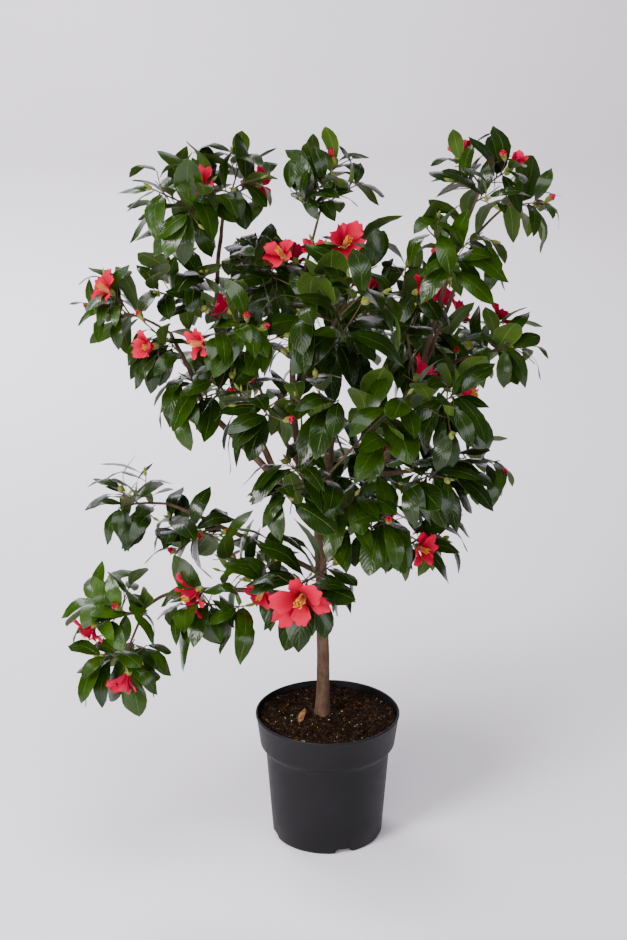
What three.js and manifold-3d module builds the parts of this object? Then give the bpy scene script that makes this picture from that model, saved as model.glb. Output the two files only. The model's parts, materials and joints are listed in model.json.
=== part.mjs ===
// A camellia shrub standing in a round nursery pot: pot, soil, trunk, boughs and sprays of foliage.
// Millimetres, +Z up. The origin is the middle of the pot's flat underside, and the shrub's front faces -Y.
import * as THREE from 'three';
import { ConvexGeometry } from 'three/addons/geometries/ConvexGeometry.js';
import { mergeVertices } from 'three/addons/utils/BufferGeometryUtils.js';
import Module from 'manifold-3d';

const wasm = await Module();
wasm.setup();

const degree = Math.PI / 180;
const up = new THREE.Vector3(0, 0, 1);
const vector = (values) => new THREE.Vector3(...values);

// ---- Driving dimensions ----

const gap = 0.3; // clearance between neighbouring solids
const shortestEdge = 0.06; // cuts leave no edge shorter than about this

const pot = {
  height: 220,
  rimRadius: 120,
  bandRadius: 112.5, // outside of the rim band at its lower edge
  bandBottom: 168,
  bodyTop: 157, // where the body meets the band's undercut
  bodyRadius: 102.5,
  footRadius: 92,
  footEdge: 4, // size of the rounded edge round the underside
  wall: 2.4,
  sides: 30,
  drains: { count: 4, first: -73, width: 30, height: 9, from: 62, beyond: 20 },
  slot: { length: 14, width: 8, inset: 9 }, // each drain's way up into the soil
};

const soil = { level: 212, dip: 4, seatRadius: 26, dipRadius: 70 };

const trunk = {
  name: 'trunk',
  foot: [-8, 10, soil.level - 5],
  knee: [-9, 5, 380],
  tip: [-15, 0, 562],
  radii: [10.4, 9.4],
  flare: { radius: 4.6, height: 24 },
  sides: 10,
  pieces: 8,
};

// Each bough leaves a limb at a share of that limb's length, passes its knee halfway and ends at its tip.
// name, leaves, at, knee, tip, radius at its root and tip
const boughRows = [
  ['left_bough', 'trunk', 0.97, [-112, -5, 666], [-200, -10, 762], [7.2, 4.6]],
  ['left_upper_bough', 'left_bough', 0.98, [-219, -12, 822], [-246, -14, 880], [4.2, 3.2]],
  ['left_leader_bough', 'left_bough', 0.3, [-138, 38, 765], [-178, 38, 915], [5.8, 4.2]],
  ['left_top_bough', 'left_leader_bough', 0.98, [-170, 26, 1000], [-160, 10, 1068], [3.9, 3]],
  ['centre_leader_bough', 'trunk', 0.99, [-56, 14, 760], [-34, 18, 985], [7.4, 3.6]],
  ['right_bough', 'trunk', 0.93, [84, 0, 655], [143, 10, 800], [7.2, 4.8]],
  ['right_upper_bough', 'right_bough', 0.99, [172, 8, 915], [206, 2, 1035], [4.4, 3.2]],
  ['right_twin_bough', 'right_bough', 0.93, [190, 26, 920], [232, 26, 1030], [3.8, 2.9]],
  ['right_side_bough', 'right_bough', 0.86, [185, 0, 818], [228, -4, 838], [3.8, 3]],
  ['right_low_bough', 'right_bough', 0.45, [122, -26, 655], [188, -34, 672], [4.4, 3.2]],
  ['low_right_bough', 'trunk', 0.8, [52, -32, 522], [106, -44, 528], [4.6, 3.2]],
  ['low_left_bough', 'trunk', 0.62, [-118, -28, 450], [-212, -58, 464], [5.4, 3.8]],
  ['low_left_end_bough', 'low_left_bough', 0.98, [-256, -70, 462], [-296, -80, 440], [3.5, 2.8]],
  ['mid_left_bough', 'trunk', 0.74, [-92, 0, 512], [-170, 2, 548], [4.8, 3.8]],
  ['mid_left_end_bough', 'mid_left_bough', 0.98, [-218, 2, 572], [-258, 0, 590], [3.5, 2.8]],
  ['front_bough', 'trunk', 0.9, [-14, -50, 608], [-6, -92, 672], [4.8, 3.6]],
  ['front_upper_bough', 'centre_leader_bough', 0.42, [-32, -42, 836], [0, -90, 900], [4, 3]],
  ['centre_left_bough', 'centre_leader_bough', 0.2, [-80, -34, 734], [-104, -62, 798], [3.8, 3]],
  ['back_bough', 'trunk', 0.95, [4, 70, 638], [10, 124, 708], [5.6, 3.6]],
  ['back_right_bough', 'right_bough', 0.72, [146, 72, 784], [158, 116, 822], [3.8, 3]],
];
const boughShape = { sides: 5, pieces: 4 };

// Each spray of foliage grows from one stem that meets its limb and ends at the spray's heart.
// name, meets, at, heart, reach, shoots, leaf length as a share of the usual, blooms by shoot and size
const sprayRows = [
  ['low_left_tip_spray', 'low_left_end_bough', 1, [-332, -90, 434], 100, 5, 0.88, [[0, 0.7]]],
  ['low_left_hanging_spray', 'low_left_end_bough', 0.95, [-330, -104, 356], 100, 5, 0.82, [[1, 0.95]]],
  ['low_left_inner_spray', 'low_left_bough', 1, [-182, -90, 446], 114, 5, 0.88, [[4, 1]]],
  ['mid_left_tip_spray', 'mid_left_end_bough', 1, [-318, -4, 590], 88, 4, 0.9, []],
  ['mid_left_inner_spray', 'mid_left_bough', 1, [-218, 4, 532], 94, 4, 0.95, []],
  ['low_inner_spray', 'trunk', 0.66, [-116, -48, 486], 116, 5, 0.95, [[1, 0.6]]],
  ['left_tip_spray', 'left_upper_bough', 1, [-318, -14, 912], 90, 5, 0.82, [[4, 0.75]]],
  ['left_low_spray', 'left_upper_bough', 0.93, [-250, -40, 874], 98, 5, 0.95, [[2, 0.7]]],
  ['left_under_spray', 'left_bough', 0.94, [-192, -30, 792], 102, 4, 1, []],
  ['left_shoulder_spray', 'left_top_bough', 0.94, [-222, -34, 1090], 104, 5, 0.95, [[4, 0.75]]],
  ['left_top_spray', 'left_top_bough', 1, [-148, 38, 1098], 96, 4, 0.88, [[0, 0.75]]],
  ['left_inner_spray', 'left_leader_bough', 0.9, [-230, -14, 940], 104, 4, 1, [[1, 0.7]]],
  ['top_spray', 'centre_leader_bough', 1, [-4, 4, 1104], 94, 5, 0.82, [[4, 0.6]]],
  ['centre_top_spray', 'centre_leader_bough', 0.94, [-94, 14, 966], 108, 5, 1, [[2, 0.7], [4, 0.8]]],
  ['centre_spray', 'front_upper_bough', 1, [44, -30, 990], 112, 5, 1, [[1, 0.7], [4, 1]]],
  ['front_spray', 'front_upper_bough', 0.95, [10, -160, 945], 124, 4, 1.2, []],
  ['centre_left_spray', 'centre_left_bough', 1, [-128, -95, 893], 112, 4, 1.05, [[0, 0.75], [2, 0.9]]],
  ['centre_left_low_spray', 'centre_left_bough', 0.94, [-98, -115, 785], 112, 4, 1.1, []],
  ['front_middle_spray', 'front_bough', 1, [-10, -150, 808], 112, 4, 1.15, []],
  ['front_right_spray', 'front_bough', 0.93, [72, -140, 777], 122, 4, 1.15, []],
  ['front_low_spray', 'front_bough', 0.87, [-40, -145, 684], 106, 4, 1.1, []],
  ['foot_spray', 'trunk', 0.74, [-44, -116, 500], 108, 5, 1.15, [[1, 1.35]]],
  ['inner_right_spray', 'right_bough', 0.95, [112, 6, 930], 118, 4, 1, [[0, 0.9], [1, 0.7], [2, 1.15]]],
  ['right_top_spray', 'right_upper_bough', 1, [234, 0, 1110], 98, 5, 0.92, [[3, 0.7], [4, 0.7]]],
  ['right_crown_spray', 'right_twin_bough', 1, [286, 26, 1080], 92, 4, 0.92, []],
  ['right_shoulder_spray', 'right_upper_bough', 0.92, [188, -50, 1014], 108, 4, 1.05, [[0, 0.7]]],
  ['right_tip_spray', 'right_side_bough', 1, [264, 0, 850], 84, 4, 0.88, [[3, 0.5]]],
  ['right_front_spray', 'right_side_bough', 0.85, [157, -112, 789], 118, 5, 1, [[1, 1], [4, 0.8]]],
  ['right_low_spray', 'right_low_bough', 1, [226, -34, 670], 90, 4, 0.95, []],
  ['right_low_inner_spray', 'right_low_bough', 0.86, [156, -106, 670], 110, 5, 0.95, []],
  ['low_right_spray', 'low_right_bough', 0.8, [62, -112, 602], 112, 5, 1, []],
  ['low_right_tip_spray', 'low_right_bough', 1, [146, -36, 546], 86, 4, 0.92, [[0, 0.9]]],
  ['back_left_spray', 'left_leader_bough', 0.62, [-124, 165, 878], 128, 5, 1, [[4, 0.8]]],
  ['back_left_low_spray', 'left_bough', 0.62, [-160, 138, 762], 104, 4, 1, [[0, 0.7]]],
  ['back_spray', 'back_bough', 1, [-6, 190, 789], 128, 4, 1, [[3, 0.8]]],
  ['back_low_spray', 'back_bough', 0.8, [38, 162, 588], 122, 4, 1, [[1, 0.7]]],
  ['back_right_spray', 'back_right_bough', 1, [172, 176, 800], 124, 5, 1, [[4, 0.7]]],
];

const growth = {
  turn: 137.5 * degree, // from one shoot or leaf to the next, round the stem
  stemRadii: [2.8, 2.2],
  stemSides: 4,
  stemPieces: 2,
  stemOnward: 0.1, // how far a stem's knee is carried on along its limb, as a share of its length
  shootRadii: [1.5, 0], // a shoot tapers away beyond its last leaf
  shootsFrom: 0.5, // share of the stem that is bare
  shootsTo: 0.98,
  shootSpread: [0.43, 0.65], // how far the shoots' tips stand off the heart, as shares of the reach
  shootTurn: [-0.4, 0.4], // by which a shoot's turn strays, in radians
  shootRise: { lowest: -0.25, highest: 0.8, strays: [-0.15, 0.15] }, // sine of a shoot's climb off level
  leavesPerShoot: 5,
  leavesFrom: 0.25, // the share of a shoot where its leaves begin
  leavesTo: 0.76, // and where they end
  bloomAt: 0.84,
  tries: 8, // a leaf that doesn't fit is turned on and shortened, at most so often
  turnOn: 0.9,
  shortening: 0.05,
  room: 1.2, // clearance kept to the edge of a spray's space
};

const leafShape = {
  length: 114,
  sizes: [0.82, 1.16], // smallest and largest, as shares of the length
  width: 0.48, // as a share of the length
  lean: { atFoot: 86, atTip: 56, strays: [-8, 8] }, // degrees between a leaf and its shoot
  droop: [0.05, 0.55], // downward pull on a leaf, against 1 along it
  shoulders: [0.3, 0.66], // where the blade is at its widest, as shares of the length
  shoulderWidths: [0.94, 0.84],
  arch: 0.08, // rise of the blade over its chord, as a share of the length
  limbRoom: 2.2, // clearance to limbs, shoots and blooms
  leafRoom: 6, // clearance to other leaves
  rootShare: 0.2, // no clearance is asked along this share from the base
};

const bloomShape = {
  radius: 33,
  depth: 30,
  throat: 0.45, // depth of the middle, as a share of the depth
  petals: 6,
  notch: 0.72,
  outward: 0.9, // turn of its face away from the shrub's middle, against 1 along its shoot
  fits: [1, 0.88, 0.76, 0.64], // sizes that are tried
  room: 2,
};

const finishes = {
  pot: { color: 0x303034, roughness: 0.55 },
  soil: { color: 0x33200f, roughness: 1 },
  bark: { color: 0x735340, roughness: 0.85 },
  foliage: { color: 0x25451a, roughness: 0.4 },
};

// ---- Solids ----

function solidFrom(geometry) {
  const bare = geometry.clone();
  for (const name of ['normal', 'uv']) bare.deleteAttribute(name);
  const merged = mergeVertices(bare, 1e-3);
  const corners = merged.index.array;
  const faces = [];
  for (let i = 0; i < corners.length; i += 3) {
    const face = corners.slice(i, i + 3);
    if (new Set(face).size === 3) faces.push(...face);
  }
  const vertProperties = merged.attributes.position.array;
  return new wasm.Manifold(new wasm.Mesh({ numProp: 3, vertProperties, triVerts: new Uint32Array(faces) }));
}

function geometryFrom(solid) {
  const { vertProperties, triVerts } = solid.getMesh();
  const geometry = new THREE.BufferGeometry();
  geometry.setAttribute('position', new THREE.BufferAttribute(vertProperties, 3));
  geometry.setIndex(new THREE.BufferAttribute(triVerts, 1));
  return geometry;
}

function meshFrom(solid, name, finish) {
  const geometry = geometryFrom(solid);
  geometry.computeVertexNormals();
  const mesh = new THREE.Mesh(geometry, new THREE.MeshStandardMaterial(finishes[finish]));
  mesh.name = name;
  return mesh;
}

// The largest connected piece with its shortest edges closed up, so that a cut leaves no loose scrap.
function largestPiece(solid) {
  const welded = solidFrom(geometryFrom(solid.simplify(shortestEdge)));
  return welded.decompose().reduce((best, piece) => (piece.volume() > best.volume() ? piece : best));
}

// A geometry whose vertices are each moved by a function.
function reshaped(geometry, move) {
  const places = geometry.attributes.position;
  const point = new THREE.Vector3();
  for (let i = 0; i < places.count; i += 1) {
    move(point.fromBufferAttribute(places, i));
    places.setXYZ(i, point.x, point.y, point.z);
  }
  return geometry;
}

// ---- Pot and soil ----

// The pot is turned about +Z: a lathe turns its profile about Y, so it is stood up afterwards.
const turned = (profile, sides) =>
  new THREE.LatheGeometry(profile.map(([r, z]) => new THREE.Vector2(r, z)), sides).rotateX(90 * degree);

const drainTurn = (index) => (pot.drains.first + (index * 360) / pot.drains.count) * degree;

function drainBlock(index, grow, beyond = 0) {
  const { width, height, from } = pot.drains;
  const length = pot.footRadius + pot.wall + beyond - from;
  const block = new THREE.BoxGeometry(length + grow * 2, width + grow * 2, (height + grow) * 2);
  return block.translate(from + length / 2, 0, 0).rotateZ(drainTurn(index));
}

function potSolid() {
  const { height, wall, footEdge } = pot;
  const inner = (r) => r - wall;
  const wallProfile = [
    [0, 0],
    [pot.footRadius - footEdge, 0],
    [pot.footRadius, footEdge],
    [pot.bodyRadius, pot.bodyTop],
    [pot.bandRadius - 2, pot.bandBottom - 2],
    [pot.bandRadius, pot.bandBottom + 1],
    [pot.rimRadius - 1, height - 4],
    [pot.rimRadius, height - 2],
    [pot.rimRadius - 1, height],
    [pot.rimRadius - wall - 1, height],
    [inner(pot.rimRadius - 1), height - 4],
    [inner(pot.bandRadius), pot.bandBottom + 2],
    [inner(pot.bodyRadius), pot.bodyTop - 1],
    [inner(pot.footRadius), wall + 1],
    [0, wall],
  ];
  let solid = solidFrom(turned(wallProfile, pot.sides));
  const outside = solidFrom(turned([[0, 0], ...wallProfile.slice(1, 9), [0, height]], pot.sides));
  for (let i = 0; i < pot.drains.count; i += 1) {
    // Each drain is a channel under the base, roofed inside the pot, with a slot up into the soil.
    const roof = solidFrom(drainBlock(i, pot.wall)).intersect(outside);
    const channel = solidFrom(drainBlock(i, 0, pot.drains.beyond));
    const slot = new THREE.BoxGeometry(pot.slot.width, pot.slot.length, pot.bandBottom / 3);
    slot.translate(pot.drains.from + pot.slot.inset, 0, 0);
    solid = solid.add(roof).subtract(channel).subtract(solidFrom(slot.rotateZ(drainTurn(i))));
  }
  return solid;
}

function soilSolid() {
  const inside = (r) => r - pot.wall - gap - 0.2;
  const { level, dip, seatRadius, dipRadius } = soil;
  const wallShare = (level - pot.bandBottom) / (pot.height - pot.bandBottom);
  const edge = pot.bandRadius + (pot.rimRadius - pot.bandRadius) * wallShare - 1;
  const profile = [
    [0, pot.wall + gap],
    [inside(pot.footRadius) - 1, pot.wall + gap + 0.8],
    [inside(pot.bodyRadius), pot.bodyTop + 1],
    [inside(pot.bandRadius), pot.bandBottom + 4],
    [inside(edge), level],
    [dipRadius, level - dip],
    [seatRadius, level],
    [0, level],
  ];
  let solid = solidFrom(turned(profile, pot.sides));
  for (let i = 0; i < pot.drains.count; i += 1) {
    solid = solid.subtract(solidFrom(drainBlock(i, pot.wall + gap)));
  }
  return solid;
}

// ---- Limbs ----

// A limb is a curve through its foot, knee and tip, with its radius at each share of its length.
function limbOf({ name, foot, knee, tip, radii, flare, sides, pieces }) {
  const [start, middle, end] = [foot, knee, tip].map((p) => (p.isVector3 ? p : vector(p)));
  const bend = middle.clone().multiplyScalar(2).sub(start.clone().add(end).multiplyScalar(0.5));
  const curve = new THREE.QuadraticBezierCurve3(start, bend, end);
  const length = curve.getLength();
  const radiusAt = (share) => {
    const swell = flare ? flare.radius * Math.exp((-share * length) / flare.height) : 0;
    return radii[0] + (radii[1] - radii[0]) * share + swell;
  };
  const [level] = acrossOf(end.clone().sub(start).normalize());
  return { name, curve, length, radiusAt, sides, pieces, level };
}

const pointOn = (limb, share) => limb.curve.getPoint(share);
const headingOn = (limb, share) => limb.curve.getTangent(share);

// Two unit vectors square to a heading, the first as near as can be to a level one.
function acrossOf(heading, level) {
  const side = level ? level.clone() : new THREE.Vector3().crossVectors(heading, up);
  side.addScaledVector(heading, -side.dot(heading));
  if (side.length() < 1e-3) side.set(1, 0, 0);
  side.normalize();
  return [side, new THREE.Vector3().crossVectors(side, heading).normalize()];
}

// A capped cylinder bent along the limb's curve. With grow, it is that much fatter and longer at both ends.
function limbSolid(limb, grow = 0) {
  const { sides, pieces } = limb;
  const shape = new THREE.CylinderGeometry(limb.radiusAt(1) ? 1 : 0, 1, 1, sides, pieces);
  return solidFrom(
    reshaped(shape, (point) => {
      const share = point.y + 0.5;
      const heading = headingOn(limb, share);
      const [side, over] = acrossOf(heading, limb.level);
      const radius = limb.radiusAt(share) + grow;
      const [out, turn] = [Math.min(1, Math.hypot(point.x, point.z) * 1e6), Math.atan2(point.z, point.x)];
      const beyond = share < 0.5 / pieces ? -grow : share > 1 - 0.5 / pieces ? grow : 0;
      point.copy(pointOn(limb, share)).addScaledVector(heading, beyond);
      point.addScaledVector(side, out * radius * Math.cos(turn));
      point.addScaledVector(over, out * radius * Math.sin(turn));
    }),
  );
}

// Points along a limb, each with the limb's radius there, for the clearance tests.
function beadsOn(limb, spacing = 5) {
  const count = Math.ceil(limb.length / spacing);
  return Array.from({ length: count + 1 }, (_, i) => {
    const share = i / count;
    return { point: pointOn(limb, share), radius: limb.radiusAt(share) };
  });
}

// ---- Growth rule ----

const between = ([least, most], share) => least + (most - least) * share;

// A repeatable row of numbers from 0 to 1.
function seededFrom(seed) {
  let state = (seed * 7919 + 12345) >>> 0;
  const next = () => {
    state = (Math.imul(state, 1664525) + 1013904223) >>> 0;
    return state / 4294967296;
  };
  for (let i = 0; i < 4; i += 1) next();
  return next;
}

// A spray keeps to a ball round its heart, cut off by planes halfway to its neighbours.
function inSpace(spray, point, room = growth.room) {
  const own = point.distanceTo(spray.heart);
  if (own > spray.reach - room) return false;
  return spray.neighbours.every(({ heart, reach, apart }) => {
    const other = point.distanceTo(heart);
    return (other ** 2 - reach ** 2 - own ** 2 + spray.reach ** 2) / (2 * apart) > room;
  });
}

const clearOfBeads = (point, radius, beads) =>
  beads.every((bead) => bead.point.distanceTo(point) > bead.radius + radius);

function growShoot(spray, index, random) {
  const { turn, shootsFrom, shootsTo, shootSpread, shootTurn, shootRise, shootRadii } = growth;
  const place = (index + 0.5) / spray.shoots;
  const foot = pointOn(spray.stem, between([shootsFrom, shootsTo], place));
  const around = index * turn + spray.firstTurn + between(shootTurn, random());
  const climb = between([shootRise.lowest, shootRise.highest], place) + between(shootRise.strays, random());
  const level = Math.sqrt(Math.max(0, 1 - climb * climb));
  const spread = spray.reach * between(shootSpread, random());
  const away = new THREE.Vector3(Math.cos(around) * level, Math.sin(around) * level, climb);
  const tip = spray.heart.clone().addScaledVector(away, spread);
  const knee = foot.clone().lerp(tip, 0.5);
  return limbOf({ name: spray.name, foot, knee, tip, radii: shootRadii, sides: 3, pieces: 1 });
}

function leafCandidate(shoot, at, around, length, random) {
  const heading = headingOn(shoot, at);
  const [side, over] = acrossOf(heading, shoot.level);
  const { atFoot, atTip, strays } = leafShape.lean;
  const lean = (between([atFoot, atTip], at) + between(strays, random())) * degree;
  const droop = between(leafShape.droop, random());
  const along = heading.clone().multiplyScalar(Math.cos(lean));
  along.addScaledVector(side, Math.cos(around) * Math.sin(lean));
  along.addScaledVector(over, Math.sin(around) * Math.sin(lean));
  along.addScaledVector(up, -droop).normalize();
  const face = heading.clone().multiplyScalar(0.5).add(up);
  face.addScaledVector(along, -face.dot(along)).normalize();
  const across = new THREE.Vector3().crossVectors(along, face);
  const base = pointOn(shoot, at);
  return { base, along, across, face, length, width: length * leafShape.width };
}

// The six corners of a leaf: its base and tip, and two shoulders on each side, raised by the arch.
function leafCorners({ base, along, across, face, length, width }) {
  const { shoulders, shoulderWidths, arch } = leafShape;
  const corners = [base, base.clone().addScaledVector(along, length)];
  shoulders.forEach((share, i) => {
    for (const side of [-1, 1]) {
      const corner = base.clone().addScaledVector(along, share * length);
      corner.addScaledVector(across, (side * width * shoulderWidths[i]) / 2);
      corners.push(corner.addScaledVector(face, arch * length));
    }
  });
  return corners;
}

// Points on a leaf's midrib and shoulders, for the tests against other leaves.
function marksOf(leaf) {
  const midrib = [0.35, 0.55, 0.75, 0.97].map((share) => {
    const point = leaf.base.clone().addScaledVector(leaf.along, share * leaf.length);
    return point.addScaledVector(leaf.face, leafShape.arch * leaf.length * Math.sin(Math.PI * share));
  });
  return [...midrib, ...leafCorners(leaf).slice(2)].map((point) => ({ point, radius: 0 }));
}

// True where no bead lies in the slab of space that the leaf takes.
function leafIsClear(leaf, beads, room) {
  const { base, along, across, face, length, width } = leaf;
  return beads.every(({ point, radius }) => {
    const offset = point.clone().sub(base);
    const share = offset.dot(along) / length;
    if (share < leafShape.rootShare || share > 1 + (radius + room) / length) return true;
    const bow = Math.sin(Math.PI * Math.min(share, 1));
    if (Math.abs(offset.dot(across)) > (width / 2) * bow + radius + room) return true;
    return Math.abs(offset.dot(face) - leafShape.arch * length * bow) > radius + room;
  });
}

// A bloom faces outward from the shrub and is made smaller until its rim fits the spray's space.
function growBloom(spray, shoot, size, otherBeads) {
  const { outward, fits: sizes, room, petals } = bloomShape;
  const away = spray.heart.clone().setZ(0).normalize();
  const face = headingOn(shoot, 1).addScaledVector(away, outward).normalize();
  const centre = pointOn(shoot, growth.bloomAt);
  const [side, over] = acrossOf(face);
  for (const share of sizes) {
    const radius = bloomShape.radius * size * share;
    const depth = bloomShape.depth * size * share;
    const middle = centre.clone().addScaledVector(face, depth);
    const rim = Array.from({ length: petals * 2 }, (_, i) => {
      const turn = (i * Math.PI) / petals;
      const point = middle.clone().addScaledVector(side, radius * Math.cos(turn));
      return point.addScaledVector(over, radius * Math.sin(turn));
    });
    const fits = rim.every((point) => inSpace(spray, point) && clearOfBeads(point, room, otherBeads));
    if (fits && clearOfBeads(middle, radius * 0.7, otherBeads)) return { centre, face, radius, depth };
  }
  return null;
}

// The whole plan of a spray: its shoots, blooms and leaves, each kept where it fits.
function growSpray(spray, index, otherBeads) {
  const random = seededFrom(index + 1);
  spray.firstTurn = random() * 2 * Math.PI;
  const ownBeads = beadsOn(spray.stem);
  const shoots = [];
  for (let i = 0; i < spray.shoots; i += 1) {
    const shoot = growShoot(spray, i, random);
    const fits = beadsOn(shoot).every(({ point, radius }) => {
      const inside = inSpace(spray, point, radius + 0.5);
      return inside && clearOfBeads(point, radius + 1, otherBeads);
    });
    if (fits) shoots.push({ ...shoot, number: i });
  }
  shoots.forEach((shoot) => ownBeads.push(...beadsOn(shoot)));

  const blooms = [];
  shoots.forEach((shoot) => {
    const size = new Map(spray.blooms).get(shoot.number);
    if (!size) return;
    const bloom = growBloom(spray, shoot, size, otherBeads);
    if (!bloom) return;
    blooms.push(bloom);
    const middle = bloom.centre.clone().addScaledVector(bloom.face, bloom.depth * 0.7);
    ownBeads.push({ point: middle, radius: bloom.radius * 0.5 });
  });

  const leaves = [];
  const placed = []; // the marks of each kept leaf
  const room = leafShape.leafRoom;
  shoots.forEach((shoot) => {
    const { leavesPerShoot, leavesFrom, leavesTo, turn, tries, turnOn, shortening } = growth;
    let around = random() * 2 * Math.PI;
    for (let i = 0; i < leavesPerShoot; i += 1) {
      const at = leavesTo - (leavesTo - leavesFrom) * (1 - i / (leavesPerShoot - 1)) ** 1.25;
      around += turn;
      for (let attempt = 0; attempt < tries; attempt += 1) {
        const size = between(leafShape.sizes, random()) * (1 - shortening * attempt);
        const length = leafShape.length * spray.leaf * size;
        const leaf = leafCandidate(shoot, at, around + attempt * turnOn, length, random);
        const marks = marksOf(leaf);
        const fits =
          leafCorners(leaf).every((corner) => inSpace(spray, corner)) &&
          leafIsClear(leaf, otherBeads, leafShape.limbRoom) &&
          leafIsClear(leaf, ownBeads, leafShape.limbRoom) &&
          leaves.every((other, j) => leafIsClear(leaf, placed[j], room) && leafIsClear(other, marks, room));
        if (fits) {
          leaves.push(leaf);
          placed.push(marks);
          break;
        }
      }
    }
  });
  return { shoots, blooms, leaves };
}

// ---- Foliage solids ----

// The hull of its six corners gives a leaf eight faces.
const leafSolid = (leaf) => solidFrom(new ConvexGeometry(leafCorners(leaf)));

// A scalloped cup: a lathed outline whose rim is drawn in between the petals.
function bloomSolid({ centre, face, radius, depth }) {
  const { petals, notch, throat } = bloomShape;
  const outline = [[0, 0], [radius, depth], [0, depth * throat]].map(([r, h]) => new THREE.Vector2(r, h));
  const [side, over] = acrossOf(face);
  const rim = radius * 0.5;
  return solidFrom(
    reshaped(new THREE.LatheGeometry(outline, petals * 2), (point) => {
      const [out, turn, rise] = [Math.hypot(point.x, point.z), Math.atan2(point.z, point.x), point.y];
      const petal = Math.round((turn / Math.PI) * petals);
      const reach = out > rim && petal % 2 ? notch : 1;
      point.copy(centre).addScaledVector(face, rise);
      point.addScaledVector(side, out * reach * Math.cos(turn));
      point.addScaledVector(over, out * reach * Math.sin(turn));
    }),
  );
}

function spraySolid(spray, plan) {
  const solids = [
    limbSolid(spray.stem),
    ...plan.shoots.map((shoot) => limbSolid(shoot)),
    ...plan.leaves.map(leafSolid),
    ...plan.blooms.map(bloomSolid),
  ];
  return wasm.Manifold.union(solids);
}

// ---- The shrub ----

const shrub = new THREE.Group();
shrub.add(meshFrom(potSolid(), 'pot', 'pot'));
shrub.add(meshFrom(soilSolid(), 'soil', 'soil'));

const limbs = { trunk: limbOf(trunk) };
const ground = solidFrom(new THREE.BoxGeometry(100, 100, 40).translate(0, 0, soil.level + gap - 20));
const wood = { trunk: limbSolid(limbs.trunk).subtract(ground) };
const cutters = { trunk: limbSolid(limbs.trunk, gap) }; // each limb with its clearance

for (const [name, parent, at, knee, tip, radii] of boughRows) {
  const foot = pointOn(limbs[parent], at);
  limbs[name] = limbOf({ name, foot, knee, tip, radii, ...boughShape });
  const earlier = boughRows.map(([other, from]) => ({ other, from })).filter(({ other }) => other in wood);
  const neighbours = [parent, ...earlier.filter(({ from }) => from === parent).map(({ other }) => other)];
  const cut = neighbours.reduce((solid, other) => solid.subtract(cutters[other]), limbSolid(limbs[name]));
  wood[name] = largestPiece(cut);
  cutters[name] = limbSolid(limbs[name], gap);
}
for (const [name, solid] of Object.entries(wood)) shrub.add(meshFrom(solid, name, 'bark'));

const sprays = sprayRows.map(([name, parent, at, heart, reach, shoots, leaf, blooms]) => {
  const foot = pointOn(limbs[parent], at);
  const end = vector(heart);
  // a stem at the limb's own end carries on its line before it turns to the heart
  const onward = at === 1 ? growth.stemOnward * foot.distanceTo(end) : 0;
  const knee = foot.clone().lerp(end, 0.5).addScaledVector(headingOn(limbs[parent], at), onward);
  const shape = { radii: growth.stemRadii, sides: growth.stemSides, pieces: growth.stemPieces };
  const stem = limbOf({ name, foot, knee, tip: end, ...shape });
  return { name, heart: end, reach, shoots, leaf, blooms, stem };
});
for (const spray of sprays) {
  spray.neighbours = sprays
    .filter((other) => other !== spray)
    .map(({ heart, reach }) => ({ heart, reach, apart: heart.distanceTo(spray.heart) }))
    .filter(({ reach, apart }) => apart < reach + spray.reach + growth.room * 2);
}

const allWood = wasm.Manifold.union(Object.values(cutters));
const stemCutters = new Map(sprays.map((spray) => [spray, limbSolid(spray.stem, gap)]));
const limbBeads = Object.values(limbs).flatMap((limb) => beadsOn(limb));
sprays.forEach((spray, index) => {
  const others = sprays.filter((other) => other !== spray);
  const otherBeads = [...limbBeads, ...others.flatMap((other) => beadsOn(other.stem))];
  const plan = growSpray(spray, index, otherBeads);
  let solid = spraySolid(spray, plan).subtract(allWood);
  for (const other of others) solid = solid.subtract(stemCutters.get(other));
  shrub.add(meshFrom(largestPiece(solid), spray.name, 'foliage'));
});

export default shrub;
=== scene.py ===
import json
import math
import bmesh
import bpy
import numpy as np
from mathutils import Matrix, Vector, noise

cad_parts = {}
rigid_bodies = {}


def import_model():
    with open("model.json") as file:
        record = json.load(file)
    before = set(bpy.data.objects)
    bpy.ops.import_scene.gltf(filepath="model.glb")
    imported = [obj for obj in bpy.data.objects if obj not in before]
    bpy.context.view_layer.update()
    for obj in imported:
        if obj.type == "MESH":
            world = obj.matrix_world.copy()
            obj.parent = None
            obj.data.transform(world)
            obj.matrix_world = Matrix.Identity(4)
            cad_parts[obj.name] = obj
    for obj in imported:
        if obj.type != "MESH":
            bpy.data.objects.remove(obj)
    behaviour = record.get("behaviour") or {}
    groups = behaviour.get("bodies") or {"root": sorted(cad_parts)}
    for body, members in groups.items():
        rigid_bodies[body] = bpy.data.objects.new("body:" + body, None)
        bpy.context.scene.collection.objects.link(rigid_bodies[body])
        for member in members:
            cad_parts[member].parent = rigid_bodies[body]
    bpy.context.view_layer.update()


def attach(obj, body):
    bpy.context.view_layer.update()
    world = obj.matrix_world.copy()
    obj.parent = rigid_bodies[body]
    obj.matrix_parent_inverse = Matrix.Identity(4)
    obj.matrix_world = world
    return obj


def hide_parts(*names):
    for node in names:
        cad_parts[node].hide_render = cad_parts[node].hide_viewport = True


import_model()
mm = 0.001
degree = math.pi / 180
fullTurn = 2 * math.pi


# small tools

def linearColour(hexValue):
    # an sRGB hex value as the linear colour that a shader socket takes
    parts = [int(hexValue[i:i + 2], 16) / 255 for i in (0, 2, 4)]
    return [p / 12.92 if p <= 0.04045 else ((p + 0.055) / 1.055) ** 2.4 for p in parts] + [1.0]


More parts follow.
